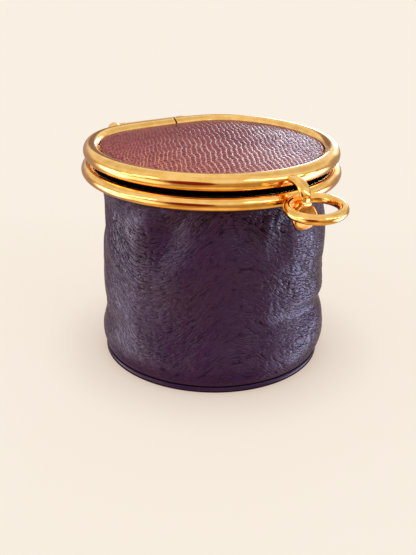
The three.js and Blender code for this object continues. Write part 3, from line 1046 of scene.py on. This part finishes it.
@dataclass
class LidPanel:
    """Leather panel over a board, set inside the upper ring."""

    leather: bpy.types.Material
    lining: bpy.types.Material
    grain: ScaleGrain = ScaleGrain()
    ring_radius: float = LID_RADIUS
    ring_height: float = LID_HEIGHT
    columns: int = 300
    # Heading and reach across which the scale lines change from painted shade to painted highlights
    painted_light_heading: float = 20.0
    painted_light_reach: tuple[float, float] = (-26.0, 30.0)
    press_reach: tuple[float, float] = (-17.0, 1.0)
    press_slope: float = 0.3
    press_least: float = 0.3
    # Share of the way out over which the grain runs out at the rolled edge
    grain_edge: tuple[float, float] = (0.965, 1.0)
    # Rolled edge from the crown's rim down and in: inset from the ring's centre line, up
    edge: tuple[tuple[float, float], ...] = (
        (2.4, 1.05),
        (2.27, 1.0),
        (2.22, 0.9),
        (2.28, 0.72),
        (2.45, 0.2),
        (2.45, -0.6),
        (2.7, -0.85),
        (3.4, -0.9),
    )
    # Crown above its rim: share of the way out, rise
    crown: tuple[tuple[float, float], ...] = ((0.0, 0.5), (0.45, 0.45), (0.8, 0.25), (1.0, 0.0))

    def build(self) -> None:
        """Builds and installs the panel."""
        panel = Workpiece(
            "lid_leather_panel", bpy.ops.mesh.primitive_grid_add, size=2.0 * MM,
            x_subdivisions=self.columns, y_subdivisions=self.columns,
        )
        panel.pick(Part.EDGE, lambda edge, middle: edge.is_boundary)
        for _ in self.edge[1:]:
            panel.extrude((0.0, 0.0, -1.0))
        bpy.ops.mesh.edge_face_add()
        blank = panel.places()
        panel.reshape(self.to_disc)
        along, rows = self.press_grain(panel, blank)
        places = panel.places()
        # The wear mark places the painted highlights and painted shade on the scale lines
        panel.mark(along=along, rows=rows, wear=self.wear(places), press=self.press(places))
        panel.settle(50.0)
        panel.install(Body.LID, "lid_panel", "lid_leather", self.leather, self.lining)
        panel.refinish(lambda face: face.normal.z < -0.8)

    def to_disc(self, blank: np.ndarray) -> np.ndarray:
        """Lays the square blank out to the ring's outline, with a crown and a rolled edge."""
        row = np.rint(-blank[:, 2]).astype(int)
        x = blank[:, 0] * np.sqrt(1 - blank[:, 1] ** 2 / 2)
        y = blank[:, 1] * np.sqrt(1 - blank[:, 0] ** 2 / 2)
        out = np.minimum(np.hypot(x, y), 1.0)
        angle = np.arctan2(y, x)
        table = np.array(self.edge)
        places = np.zeros_like(blank)
        for index, (inset, up) in enumerate(table):
            chosen = row == index
            rim = self.rim_reach(angle[chosen], inset)
            places[chosen, 0] = rim * out[chosen] * np.cos(angle[chosen])
            places[chosen, 1] = rim * out[chosen] * np.sin(angle[chosen])
            places[chosen, 2] = self.ring_height + up
        crown = np.array(self.crown)
        top = row == 0
        places[top, 2] += smooth_through(out[top], crown[:, 0], crown[:, 1])
        return places

    def wear(self, places: np.ndarray) -> np.ndarray:
        """Gives how far the scale lines are painted light, not shade: most to the left, none at the right and
        back.
        """
        turn = math.radians(self.painted_light_heading)
        across = -(places[:, 0] * math.cos(turn) + places[:, 1] * math.sin(turn))
        none, full = self.painted_light_reach
        return np.clip((across - none) / (full - none), 0.0, 1.0)

    def press(self, places: np.ndarray) -> np.ndarray:
        """Gives how clear the grain's lines are: faint towards the hinge."""
        forwards = self.press_slope * places[:, 0] - places[:, 1]
        return self.press_least + (1 - self.press_least) * fade(forwards, *self.press_reach)

    def rim_reach(self, angle: np.ndarray, inset: float) -> np.ndarray:
        """Gives the distance from the axis to the ring's outline moved in by an inset."""
        turns = np.linspace(-math.pi, math.pi, 1441)
        outline = OUTLINE.point(turns, self.ring_radius, inset)
        bearings = np.unwrap(np.arctan2(outline[:, 1], outline[:, 0]))
        return np.interp(angle, bearings, np.hypot(outline[:, 0], outline[:, 1]), period=TURN)

    def press_grain(self, panel: Workpiece, blank: np.ndarray) -> tuple[np.ndarray, np.ndarray]:
        """Presses the scale grain into the crown.

        Args:
            panel: The panel's workpiece.
            blank: Its vertices' places on the flat blank.

        Returns:
            Each vertex's place along and across the rows, in scales.
        """
        places = panel.places()
        relief, along, rows = self.grain.relief(places[:, 0], places[:, 1])
        side = np.maximum(np.abs(blank[:, 0]), np.abs(blank[:, 1]))
        share = np.where(np.rint(blank[:, 2]) == 0, 1 - fade(side, *self.grain_edge), 0.0)
        places[:, 2] += relief * share
        panel.reshape(lambda _: places)
        return along, rows


@dataclass(frozen=True)
class Fold:
    """One dent or fold in the wall. Bearing runs round from the clasp towards +X; slant is from level."""

    bearing: float
    height: float
    along: float
    across: float
    slant: float
    rise: float

    def relief(self, bearing: np.ndarray, height: np.ndarray, radius: float) -> np.ndarray:
        """Gives how far the fold pushes the wall outwards."""
        sideways = np.radians(turned_from(bearing, self.bearing)) * radius
        upwards = height - self.height
        slant = math.radians(self.slant)
        a = (sideways * math.cos(slant) + upwards * math.sin(slant)) / self.along
        c = (upwards * math.cos(slant) - sideways * math.sin(slant)) / self.across
        return self.rise * np.exp(-(a**2 + c**2) / 2)


@dataclass(frozen=True)
class Streaks:
    """One layer of wrinkles: width, length each way, height, and spread of the noise that creases."""

    width: float
    length: float
    height: float
    narrow: float = 1.0


@dataclass(frozen=True)
class WrinkleField:
    """Fine wrinkles, drawn out along the way the leather is pulled."""

    rows: int
    columns: int
    row_step: float
    column_step: float
    low: float
    radius: float
    seed: int = 5
    stride: float = 0.35
    fine: Streaks = Streaks(0.4, 2.6, -0.12, 0.4)
    broad: Streaks = Streaks(0.75, 5.0, -0.20, 0.3)
    swell: Streaks = Streaks(1.3, 3.0, 0.09)
    roll: Streaks = Streaks(3.2, 5.0, 0.26)
    # Least strength, the share of the relief that shows at no strength, and the painted shade of fine creases
    least: float = 0.6
    calm: float = 0.3
    fine_crease_shade: float = 0.7
    # Way of the wrinkles from level at a bearing and height, and how far it holds
    ways: tuple[tuple[float, float, float, float], ...] = (
        (-83, 31, -54, 6), (-68, 25, 5, 6), (-52, 28, 37, 6), (-39, 35, 59, 6), (-70, 10, -40, 6),
        (-34, 19, 55, 8), (-11, 18, -55, 6), (-1, 9, -20, 6), (1, 27, -40, 6), (16, 24, -10, 6),
        (26, 26, -15, 6), (14, 39, 60, 5), (23, 11, -15, 6), (-9, 45, 70, 4), (-52, 45, 45, 5),
        (-67, 43, 50, 4), (-72, 36, -10, 4), (60, 20, 20, 10), (90, 34, 70, 9), (112, 22, 20, 9),
        (140, 16, 8, 9), (172, 30, 80, 9), (-150, 28, 40, 9), (-122, 36, -60, 8), (-110, 14, -20, 9),
    )
    # How steeply the fine crinkles rise to the right at each bearing, in degrees
    arcs: tuple[tuple[float, float], ...] = (
        (-180, 0), (-125, 30), (-110, 0), (-95, -40), (-83, -45), (-69, 0), (-52, 36), (-39, 46), (-30, 38),
        (-21, 0), (-11, -36), (1, -34), (14, -14), (26, -15), (45, 5), (60, 20), (85, 0), (110, 25), (140, 5),
        (180, 0),
    )
    # Where the wrinkles are deep: bearing, height, reach sideways and upwards, strength
    depths: tuple[tuple[float, float, float, float, float], ...] = (
        (-80, 34, 16, 11, 1.0), (-70, 11, 8, 6, 0.8), (-30, 46, 16, 4, 1.2), (-4, 44, 9, 6, 1.2),
        (16, 28, 14, 12, 1.0), (24, 10, 13, 7, 0.95), (-12, 17, 7, 6, 0.7), (60, 26, 14, 14, 0.9),
        (100, 28, 12, 9, 0.9), (150, 18, 12, 8, 0.8), (-165, 32, 12, 9, 0.8), (-128, 26, 10, 9, 0.8),
    )

    def grid(self) -> tuple[np.ndarray, np.ndarray]:
        """Gives the bearing and the height of every place on the unrolled wall."""
        bearing = np.arange(self.columns) * 360.0 / self.columns + 90.0
        height = self.low + np.arange(self.rows) * self.row_step
        return np.meshgrid(bearing, height)

    def away(self, bearing: np.ndarray, middle: float) -> np.ndarray:
        """Gives the distance round the wall from a bearing."""
        return np.radians(turned_from(bearing, middle)) * self.radius

    def strength(self) -> np.ndarray:
        """Gives how deep the wrinkles are, from 0.6 to 1.2."""
        bearing, height = self.grid()
        total = np.full(bearing.shape, self.least)
        for middle, at, wide, tall, share in self.depths:
            reach = (self.away(bearing, middle) / wide) ** 2 + ((height - at) / tall) ** 2
            total = np.maximum(total, share * np.exp(-reach / 2))
        return total

    def way(self) -> np.ndarray:
        """Gives the wrinkles' way from level, in radians."""
        bearing, height = self.grid()
        level = np.full(bearing.shape, 0.01)
        steep = np.full(bearing.shape, 0.02)
        for middle, at, heading, reach in self.ways:
            apart = self.away(bearing, middle) ** 2 + (height - at) ** 2
            share = np.exp(-apart / (2 * reach**2))
            level += share * math.cos(2 * math.radians(heading))
            steep += share * math.sin(2 * math.radians(heading))
        return np.arctan2(steep, level) / 2

    def lift(self) -> np.ndarray:
        """Gives how far up the crinkles' arcs have come at each place, in millimetres."""
        bearing, _ = self.grid()
        turned = turned_from(bearing[0], 0.0)
        order = np.argsort(turned)
        slope = np.tan(np.radians(np.interp(turned[order], *zip(*self.arcs))))
        risen = np.empty(self.columns)
        risen[order] = np.cumsum(slope - slope.mean()) * self.column_step
        return np.broadcast_to(risen, bearing.shape)

    def cloud(self, blur: float, seed: int) -> np.ndarray:
        """Gives seeded noise, softened over a width in millimetres."""
        raw = np.random.default_rng(seed).standard_normal((self.rows, self.columns))
        fy = np.fft.fftfreq(self.rows, self.row_step)[:, None]
        fx = np.fft.fftfreq(self.columns, self.column_step)[None, :]
        soft = np.exp(-2 * (math.pi * blur) ** 2 * (fx**2 + fy**2))
        return np.real(np.fft.ifft2(np.fft.fft2(raw) * soft))

    def drawn(self, streaks: Streaks, seed: int) -> np.ndarray:
        """Draws noise out along the wrinkles' way.

        Args:
            streaks: Width and length of the wrinkles.
            seed: Seed of the noise.

        Returns:
            The streaked noise, with a spread of 1.
        """
        cloud = self.cloud(streaks.width, seed)
        way = self.way()
        total = cloud.copy()
        for sign in (1.0, -1.0):
            row, column = np.indices(cloud.shape).astype(float)
            ahead = np.stack([np.sin(way), np.cos(way)]) * sign
            for _ in range(int(streaks.length / self.stride)):
                row = row + ahead[0] * self.stride / self.row_step
                column = column + ahead[1] * self.stride / self.column_step
                r = np.clip(np.rint(row).astype(int), 0, self.rows - 1)
                c = np.rint(column).astype(int) % self.columns
                total += cloud[r, c]
                here = np.stack([np.sin(way[r, c]), np.cos(way[r, c])])
                ahead = here * np.where((here * ahead).sum(0) < 0, -1.0, 1.0)
        return (total - total.mean()) / total.std()

    def relief(self) -> tuple[np.ndarray, np.ndarray]:
        """Gives the wrinkles.

        Returns:
            Relief in millimetres, and crease depth from 0 to 1 that the finish paints as shade, by row and
            column.
        """
        strength = self.strength()
        layers = (self.fine, self.broad, self.swell, self.roll)
        fine, broad, swell, roll = (self.drawn(layer, self.seed + k) for k, layer in enumerate(layers))
        fine = np.exp(-((fine / self.fine.narrow) ** 2))
        broad = np.exp(-((broad / self.broad.narrow) ** 2))
        deep = self.broad.height * broad + self.swell.height * swell
        depth = self.fine.height * fine + deep * strength + self.roll.height * roll
        shown = self.calm + (1 - self.calm) * strength
        return depth * shown, np.maximum(self.fine_crease_shade * fine, broad) * strength


@dataclass
class Pouch:
    """Soft leather wall and base."""

    leather: bpy.types.Material
    base_leather: bpy.types.Material
    lining: bpy.types.Material
    rim_radius: float = RIM_RADIUS
    base_radius: float = BASE_RADIUS
    base_edge: float = 0.8
    base_lean: float = 0.85
    lean_heading: float = -34.0
    thickness: float = 1.2
    # Columns and rows of the mesh, its rows inside, and the rows of the finer field that holds the wrinkles
    columns: int = 560
    rows: int = 101
    inner_rows: int = 10
    field_rows: int = 160
    fold_top: tuple[float, float] = (44.0, 48.0)
    fold_bottom: tuple[float, float] = (2.0, 6.0)
    # Height above which the wall's outside takes the dark lining, as painted shade in the gap between the
    # rings
    lip_start: float = 49.5
    lip_drop: float = 1.5
    lip_bend: float = 46.0
    # Where the lip drops less: bearing, reach in degrees, share
    lip_front: tuple[float, float, float] = (-30.0, 14.0, 0.8)
    wrinkle_top: tuple[float, float] = (48.5, 50.5)
    wrinkle_foot: float = 1.5
    # Painted shade on the reflection: the sheen falls near the floor, under the rim and in the gap
    # Heights over which the sheen comes up at the foot, halves at the neck and ends at the lip
    sheen_foot: tuple[float, float] = (3.0, 9.0)
    sheen_neck: tuple[float, float] = (41.0, 46.0)
    sheen_lip: tuple[float, float] = (47.5, 49.5)
    base_sheen: float = 0.4
    base_insets: tuple[float, ...] = (0.6, 1.2)
    # Wall from the base up: height, reach, share of the rings' straight side, lean
    sections: tuple[tuple[float, float, float, float], ...] = (
        (1.9, 29.6, 0.0, 0.85),
        (4.4, 30.5, 0.0, 0.95),
        (7.2, 30.75, 0.0, 1.1),
        (10.4, 30.4, 0.0, 1.15),
        (13.6, 29.9, 0.0, 1.2),
        (16.8, 29.8, 0.0, 1.1),
        (20.2, 29.8, 0.0, 1.05),
        (24.0, 29.7, 0.0, 1.05),
        (28.0, 29.6, 0.1, 1.05),
        (32.2, 29.6, 0.2, 1.05),
        (36.4, 29.5, 0.35, 1.05),
        (40.4, 29.1, 0.6, 0.8),
        (43.6, 28.7, 0.8, 0.4),
        (46.2, 29.0, 0.95, 0.15),
        (48.8, 29.75, 1.0, 0.0),
        (50.9, 30.3, 1.0, 0.0),
        (52.3, 30.0, 1.0, 0.0),
    )
    # Bearing, height, reach along and across, slant and rise of each fold
    folds: tuple[Fold, ...] = tuple(Fold(*row) for row in (
        (-69, 42, 4.5, 2.2, 55, 1.2), (-55, 39, 5.5, 2.8, 60, -1.6), (-67, 30, 6.0, 3.5, 15, 0.6),
        (-64, 22, 8.0, 3.5, -10, -0.5), (-72, 13, 6.0, 3.0, -50, 0.5), (-29, 30, 14.0, 6.0, 95, -0.7),
        (-9, 42, 4.0, 2.2, 75, 0.7), (0, 41, 4.0, 2.0, 60, -0.8), (14, 31, 8.0, 6.0, 0, 0.5),
        (37, 16.8, 14.0, 1.8, -2, -1.4), (80, 42, 6.0, 3.5, 0, 1.1), (92, 34, 9.0, 5.0, 70, -0.8),
        (110, 22, 7.0, 3.0, 20, 0.6), (140, 16, 9.0, 3.0, 8, -0.8), (172, 27, 8.0, 5.0, 90, 0.6),
        (-150, 30, 9.0, 4.0, 40, -0.8), (-122, 37, 6.0, 3.0, -60, -0.5), (-135, 15, 8.0, 3.0, -8, -0.6),
    ))

    @property
    def low(self) -> float:
        """Height of the wall's lower edge."""
        return self.sections[0][0]

    @property
    def high(self) -> float:
        """Height of the wall's upper edge."""
        return self.sections[-1][0]

    def heading(self) -> np.ndarray:
        """Gives the way the pouch leans, as X and Y."""
        turn = math.radians(self.lean_heading)
        return np.array([math.cos(turn), math.sin(turn)])

    def build(self) -> None:
        """Builds and installs the wall and the base."""
        self.build_wall()
        self.build_base()

    def build_wall(self) -> None:
        """Lofts the wall from a plain tube, folds its lip inwards and wrinkles the outside."""
        middle = (self.low + self.high) / 2
        outer = self.base_radius
        wall = Workpiece(
            "pouch_wall", bpy.ops.mesh.primitive_cylinder_add, vertices=self.columns, radius=outer * MM,
            depth=(self.high - self.low) * MM, end_fill_type="NOTHING", location=(0.0, 0.0, middle * MM),
        )
        wall.pick(Part.EDGE, lambda edge, place: abs(place.z - middle) < 1.0)
        bpy.ops.mesh.subdivide(number_cuts=self.rows - 1)
        wall.pick(Part.EDGE, lambda edge, place: edge.is_boundary and place.z > middle)
        wall.extrude((0.0, 0.0, 0.0))
        inner = 1 - self.thickness / outer
        wall.resize((inner, inner, 1.0), (0.0, 0.0, self.high))
        for _ in range(self.inner_rows):
            wall.extrude((0.0, 0.0, (self.low - self.high) / self.inner_rows))
        wall.pick(Part.EDGE, lambda edge, place: edge.is_boundary)
        bpy.ops.mesh.bridge_edge_loops()
        blank = wall.places()
        inside = np.hypot(blank[:, 0], blank[:, 1]) < outer - self.thickness / 2
        angle = np.arctan2(blank[:, 1], blank[:, 0])
        wall.settle(60.0)
        relief, marks = self.wrinkles(angle, blank[:, 2], inside)
        wall.reshape(lambda _: self.wall_places(angle, blank[:, 2], inside, relief))
        wall.mark(**marks)
        wall.install(Body.PURSE, "body_wall", "body_leather", self.leather, self.lining)
        # The lip's outside takes the dark lining too, as painted shade in the gap between the rings
        lined_or_painted_shade = inside | (blank[:, 2] > self.lip_start)
        wall.refinish(lambda face: all(lined_or_painted_shade[v] for v in face.vertices))

    def wrinkles(
        self, angle: np.ndarray, height: np.ndarray, inside: np.ndarray
    ) -> tuple[np.ndarray, dict[str, np.ndarray]]:
        """Gives each vertex its wrinkles.

        Args:
            angle: Directions from the purse axis, in radians from +X.
            height: Heights of the vertices.
            inside: Which vertices are on the lining.

        Returns:
            Relief in millimetres, and the marks that the leather's finish reads.
        """
        step = (self.high - self.low) / self.field_rows
        around = TURN * self.base_radius / self.columns
        wrinkles = WrinkleField(self.field_rows + 1, self.columns, step, around, self.low, self.base_radius)
        relief, crease = wrinkles.relief()
        row = np.clip(np.rint((height - self.low) / step).astype(int), 0, self.field_rows)
        column = np.rint(angle / TURN * self.columns).astype(int) % self.columns
        shown = np.where(inside, 0.0, 1 - fade(height, *self.wrinkle_top))
        shown = shown * fade(height, self.low, self.low + self.wrinkle_foot)
        # The sheen falls at the foot, neck and lip as painted shade on the reflection
        sheen = fade(height, *self.sheen_foot) * (1 - 0.5 * fade(height, *self.sheen_neck))
        marks = {
            # crease: where the finish paints shade into the creases
            "crease": crease[row, column] * shown,
            "crinkle": wrinkles.strength()[row, column] * shown,
            "sheen": sheen * (1 - fade(height, *self.sheen_lip)),
            "lift": wrinkles.lift()[row, column],
        }
        return relief[row, column] * shown, marks

    def wall_places(
        self, angle: np.ndarray, height: np.ndarray, inside: np.ndarray, relief: np.ndarray
    ) -> np.ndarray:
        """Gives the wall's vertices: between a circle and the rings' outline, leaned over and folded."""
        table = np.array(self.sections)
        reach, flat, lean = (smooth_through(height, table[:, 0], table[:, k]) for k in (1, 2, 3))
        reach = reach - np.where(inside, self.thickness, 0.0)
        outwards = np.column_stack([np.cos(angle), np.sin(angle)])
        straight = OUTLINE.point(angle, self.rim_radius, self.rim_radius - reach)
        plan = outwards * reach[:, None] * (1 - flat)[:, None] + straight * flat[:, None]
        plan += self.heading() * lean[:, None]
        bearing = np.degrees(angle) + 90.0
        shown = (1 - fade(height, *self.fold_top)) * fade(height, *self.fold_bottom)
        folds = sum(fold.relief(bearing, height, self.base_radius) for fold in self.folds)
        plan += outwards * (folds * shown + relief)[:, None]
        middle, wide, share = self.lip_front
        front = np.exp(-((turned_from(bearing, middle) / wide) ** 2))
        drop = self.lip_drop * (1 - share * front) * fade(height, self.lip_bend, self.high)
        return np.column_stack([plan, height - drop])

    def build_base(self) -> None:
        """Makes the base disc with its rolled edge."""
        lean = self.heading() * self.base_lean
        base = Workpiece(
            "pouch_base", bpy.ops.mesh.primitive_cylinder_add, vertices=240, radius=self.base_radius * MM,
            depth=2 * self.base_edge * MM, location=Vector((*lean, self.base_edge)) * MM,
        )
        base.pick(Part.EDGE, lambda edge, place: edge.calc_face_angle(0.0) > 1.0)
        base.bevel(self.base_edge * 0.98, 8)
        base.pick(Part.FACE, lambda face, place: abs(face.normal.z) > 0.99)
        for inset in self.base_insets:
            bpy.ops.mesh.inset(thickness=inset * MM)
        smooth = np.zeros(len(base.places()))
        base.mark(crease=smooth, crinkle=smooth, sheen=smooth + self.base_sheen)
        base.settle(60.0)
        base.install(Body.PURSE, "base_panel", "base_leather", self.base_leather, self.lining)
        base.refinish(lambda face: face.normal.z > 0.99)


@dataclass(frozen=True)
class SoftLight:
    """A round soft light far off. Bearing is to the camera's right, from behind the camera."""

    bearing: float
    elevation: float
    core: float
    edge: float
    glow: float
    tint: Colour

    @property
    def edges(self) -> tuple[float, float]:
        """Cosines of the angles from its middle at which it ends and is full."""
        return math.cos(math.radians(self.edge)), math.cos(math.radians(self.core))


def arch(*stops: tuple[float, float, Colour]) -> tuple[SoftLight, ...]:
    """Makes a chain of small bright lights from their bearings, elevations and tints."""
    return tuple(SoftLight(bearing, rise, 2.5, 8, 4.0, tint) for bearing, rise, tint in stops)


@dataclass
class Studio:
    """Camera, pale floor and soft light."""

    camera_place: Point = (-113.9, -168.2, 108.3)
    camera_heading: float = -34.0
    camera_pitch: float = 23.77
    camera_roll: float = 1.01
    lens: float = 51.89
    # Floor's size and how far it lies below the base, in metres
    floor_size: float = 16.0
    floor_drop: float = 0.0001
    paper: Colour = (0.939, 0.855, 0.753)
    paper_glow: Colour = (0.76, 0.70, 0.66)
    # Painted contact shadow: the floor's glow falls to this share near the purse, over this reach in
    # millimetres
    painted_contact_shadow: Colour = (0.55, 0.44, 0.37)
    painted_shadow_reach: float = 18.0
    fill: Colour = (0.46, 0.31, 0.13)
    lights: tuple[SoftLight, ...] = (
        # Pale tent above and warm floor below
        SoftLight(0, 90, 66, 98, 0.62, (0.78, 1.0, 1.2)),
        SoftLight(0, -90, 26, 50, 0.34, (1.0, 0.66, 0.2)),
        # A long bright arch from low on one side, over the camera, to low on the other
        *arch(
            (-104, -12, WARM_WHITE), (-90, -5, WARM_WHITE), (-76, 2, WARM_WHITE), (-64, 10, WARM_WHITE),
            (-53, 18, WARM_WHITE), (38, 34, (0.96, 0.96, 1.0)), (50, 26, (0.94, 0.95, 1.0)),
            (63, 18, (0.92, 0.94, 1.0)), (78, 7, (0.90, 0.93, 1.0)), (93, -3, (0.88, 0.92, 1.0)),
            (108, -12, (0.86, 0.90, 1.0)),
        ),
        # Low windows, for the pouch's sheen
        SoftLight(-100, -20, 10, 27, 2.9, (0.92, 0.84, 1.0)),
        SoftLight(-62, -24, 6, 26, 1.5, (0.96, 0.83, 0.90)),
        SoftLight(8, -54, 6, 20, 0.35, (1.0, 0.70, 0.50)),
        SoftLight(106, -26, 9, 26, 5.2, (0.60, 0.65, 1.0)),
        SoftLight(74, -23, 6, 17, 3.2, (0.64, 0.66, 1.0)),
        # Bright sky behind on the right, for the lid's sheen
        SoftLight(168, 3, 7, 11, 7.0, (0.74, 0.90, 1.10)),
        SoftLight(156, 7, 6, 13, 1.1, (0.92, 0.92, 1.0)),
    )
    # Dim things in the tent: one before the purse, one behind it, its corners, and grey cloth on each side
    shades: tuple[SoftLight, ...] = (
        SoftLight(-17, -1, 18, 25, 0.97, (0.20, 0.008, 0.008)),
        SoftLight(-172, 17, 7, 15, 0.85, (0.18, 0.09, 0.09)),
        SoftLight(122, 48, 12, 34, 0.40, (0.42, 0.36, 0.27)),
        SoftLight(-124, 44, 10, 30, 0.32, (0.42, 0.36, 0.27)),
        SoftLight(16, 66, 8, 24, 0.22, (0.45, 0.36, 0.25)),
        SoftLight(133, 8, 5, 12, 0.50, (0.35, 0.24, 0.12)),
        SoftLight(-146, -22, 22, 42, 0.75, (0.42, 0.33, 0.37)),
        SoftLight(146, -22, 20, 38, 0.60, (0.42, 0.36, 0.43)),
    )

    def build(self) -> None:
        """Sets up the studio."""
        scene = bpy.context.scene
        scene.view_settings.view_transform = "Standard"
        self.build_camera(scene)
        self.build_floor()
        self.build_light(scene)

    def facing(self) -> Quaternion:
        """Gives the camera's turn: heading, then pitch, then roll."""
        heading = Euler((0.0, 0.0, math.radians(self.camera_heading))).to_quaternion()
        pitch = Euler((math.radians(90.0 - self.camera_pitch), 0.0, 0.0)).to_quaternion()
        roll = Euler((0.0, 0.0, math.radians(self.camera_roll))).to_quaternion()
        return heading @ pitch @ roll

    def build_camera(self, scene: bpy.types.Scene) -> None:
        """Adds the camera at the picture's viewing angle."""
        bpy.ops.object.camera_add(location=Vector(self.camera_place) * MM)
        camera = bpy.context.object
        camera.name = "studio_camera"
        camera.rotation_mode = "QUATERNION"
        camera.rotation_quaternion = self.facing()
        camera.data.sensor_width = 36.0
        camera.data.lens = self.lens
        camera.data.clip_start = 0.01
        camera.data.clip_end = 50.0
        scene.camera = camera

    def build_floor(self) -> None:
        """Lays a wide sheet of pale paper under the purse, for the eye and for shadows only, its glow
        carrying a painted contact shadow near the purse.
        """
        bpy.ops.mesh.primitive_plane_add(size=self.floor_size, location=(0.0, 0.0, -self.floor_drop))
        floor = bpy.context.object
        floor.name = "studio_floor"
        floor.visible_glossy = False
        floor.visible_diffuse = False
        light = self.light_on_floor()
        glow = tuple(paper * share for paper, share in zip(self.paper, self.paper_glow))
        matt = tuple((paper - own) / lit for paper, own, lit in zip(self.paper, glow, light))
        bench = NodeBench.material("floor_paper")
        # Painted contact shadow: the glow darkens where the purse is near
        near = bench.add("AmbientOcclusion", {"Distance": self.painted_shadow_reach * MM}, samples=12).outputs["AO"]
        shade = tuple(own * share for own, share in zip(glow, self.painted_contact_shadow))
        shine = bench.add("Emission", {"Color": bench.blend(near, shade, glow)})
        sheet = bench.add("BsdfDiffuse", {"Color": (*matt, 1.0)})
        both = bench.add("AddShader", {0: shine.outputs[0], 1: sheet.outputs[0]})
        bench.add("OutputMaterial", {"Surface": both.outputs[0]})
        floor.data.materials.append(bench.owner)

    def light_on_floor(self) -> np.ndarray:
        """Gives the mean light that falls on open floor, for red, green and blue."""
        rise, turn = np.radians(np.meshgrid(np.arange(1.0, 90.0, 2.0), np.arange(0.0, 360.0, 2.0)))
        way = direction(turn, rise)
        share = np.sin(rise) * np.cos(rise)
        share = share / share.sum()
        for shade in self.shades:
            share = share * (1 - shade.glow * self.spread(shade, way))
        total = np.array(self.fill) * share.sum()
        for light in self.lights:
            total = total + light.glow * np.array(light.tint) * (self.spread(light, way) * share).sum()
        return total

    def spread(self, light: SoftLight, way: np.ndarray) -> np.ndarray:
        """Gives how far a soft light fills each direction, from 0 to 1."""
        return fade(way @ self.towards(light), *light.edges)

    def towards(self, light: SoftLight) -> np.ndarray:
        """Gives the direction from the purse to a soft light."""
        return direction(math.radians(self.camera_heading + light.bearing), math.radians(light.elevation))

    def painted(self, bench: NodeBench, facing: Socket, light: SoftLight) -> Socket:
        """Gives a soft light's strength by direction, from 0 to its glow."""
        turned = bench.add("VectorMath", {0: facing, 1: tuple(self.towards(light))}, operation="DOT_PRODUCT")
        return bench.remap(turned.outputs["Value"], light.edges, (0.0, light.glow))

    def build_light(self, scene: bpy.types.Scene) -> None:
        """Fills the surroundings with an even glow, round soft lights and dark patches."""
        scene.world = bpy.data.worlds.new("studio_light")
        bench = NodeBench(scene.world)
        facing = bench.add("TexCoord").outputs["Generated"]
        total: SocketValue = self.fill
        for light in self.lights:
            share = self.painted(bench, facing, light)
            glow = bench.add("VectorMath", {0: light.tint, "Scale": share}, operation="SCALE")
            total = bench.add("VectorMath", {0: total, 1: glow.outputs[0]}, operation="ADD").outputs[0]
        for shade in self.shades:
            total = bench.blend(self.painted(bench, facing, shade), total, shade.tint)
        soft = bench.add("Background", {"Color": total})
        plain = bench.add("Background", {"Color": (*self.paper, 1.0)})
        seen = bench.add("LightPath").outputs["Is Camera Ray"]
        mixed = bench.add("MixShader", {0: seen, 1: soft.outputs[0], 2: plain.outputs[0]})
        bench.add("OutputWorld", {"Surface": mixed.outputs[0]})


@dataclass
class CoinPurse:
    """The whole purse, its sub-assemblies built in order."""

    hinge: Hinge = field(default_factory=Hinge)

    def build(self) -> None:
        """Builds, dresses and installs every piece."""
        lining = Lining("suede_lining").make()
        pouch_leather = PouchLeather("aubergine_leather").make()
        base_leather = PouchLeather("base_leather", pad=(0.034, 0.012, 0.060)).make()
        Pouch(pouch_leather, base_leather, lining).build()
        RimFrame(self.hinge, Gilt("rim_gilt").make(), Gilt("pin_gilt").make()).build()
        seam = Gilt("seam_shade", (0.10, 0.055, 0.02), (0.06, 0.03, 0.012), gloss=(0.4, 0.5)).make()
        # The tab's darker gilt is painted shade
        shaded_tab_gilt = Gilt("shaded_tab_gilt", (0.64, 0.31, 0.07), (0.54, 0.24, 0.05), gloss=(0.14, 0.22)).make()
        LidFrame(self.hinge, Gilt("lid_gilt").make(), shaded_tab_gilt, seam).build()
        LidPanel(ScaleLeather("burgundy_scale_leather").make(), lining).build()
        PullRing(Gilt("pull_gilt").make()).build()


def main() -> None:
    """Loads the frame and builds the purse and the studio."""
    logging.basicConfig(level=logging.INFO, format="%(name)s %(message)s")
    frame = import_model()
    LOG.info("frame nodes: %s", ", ".join(sorted(frame["nodes"])))
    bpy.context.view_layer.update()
    CoinPurse().build()
    Studio().build()


if __name__ == "__main__":
    main()
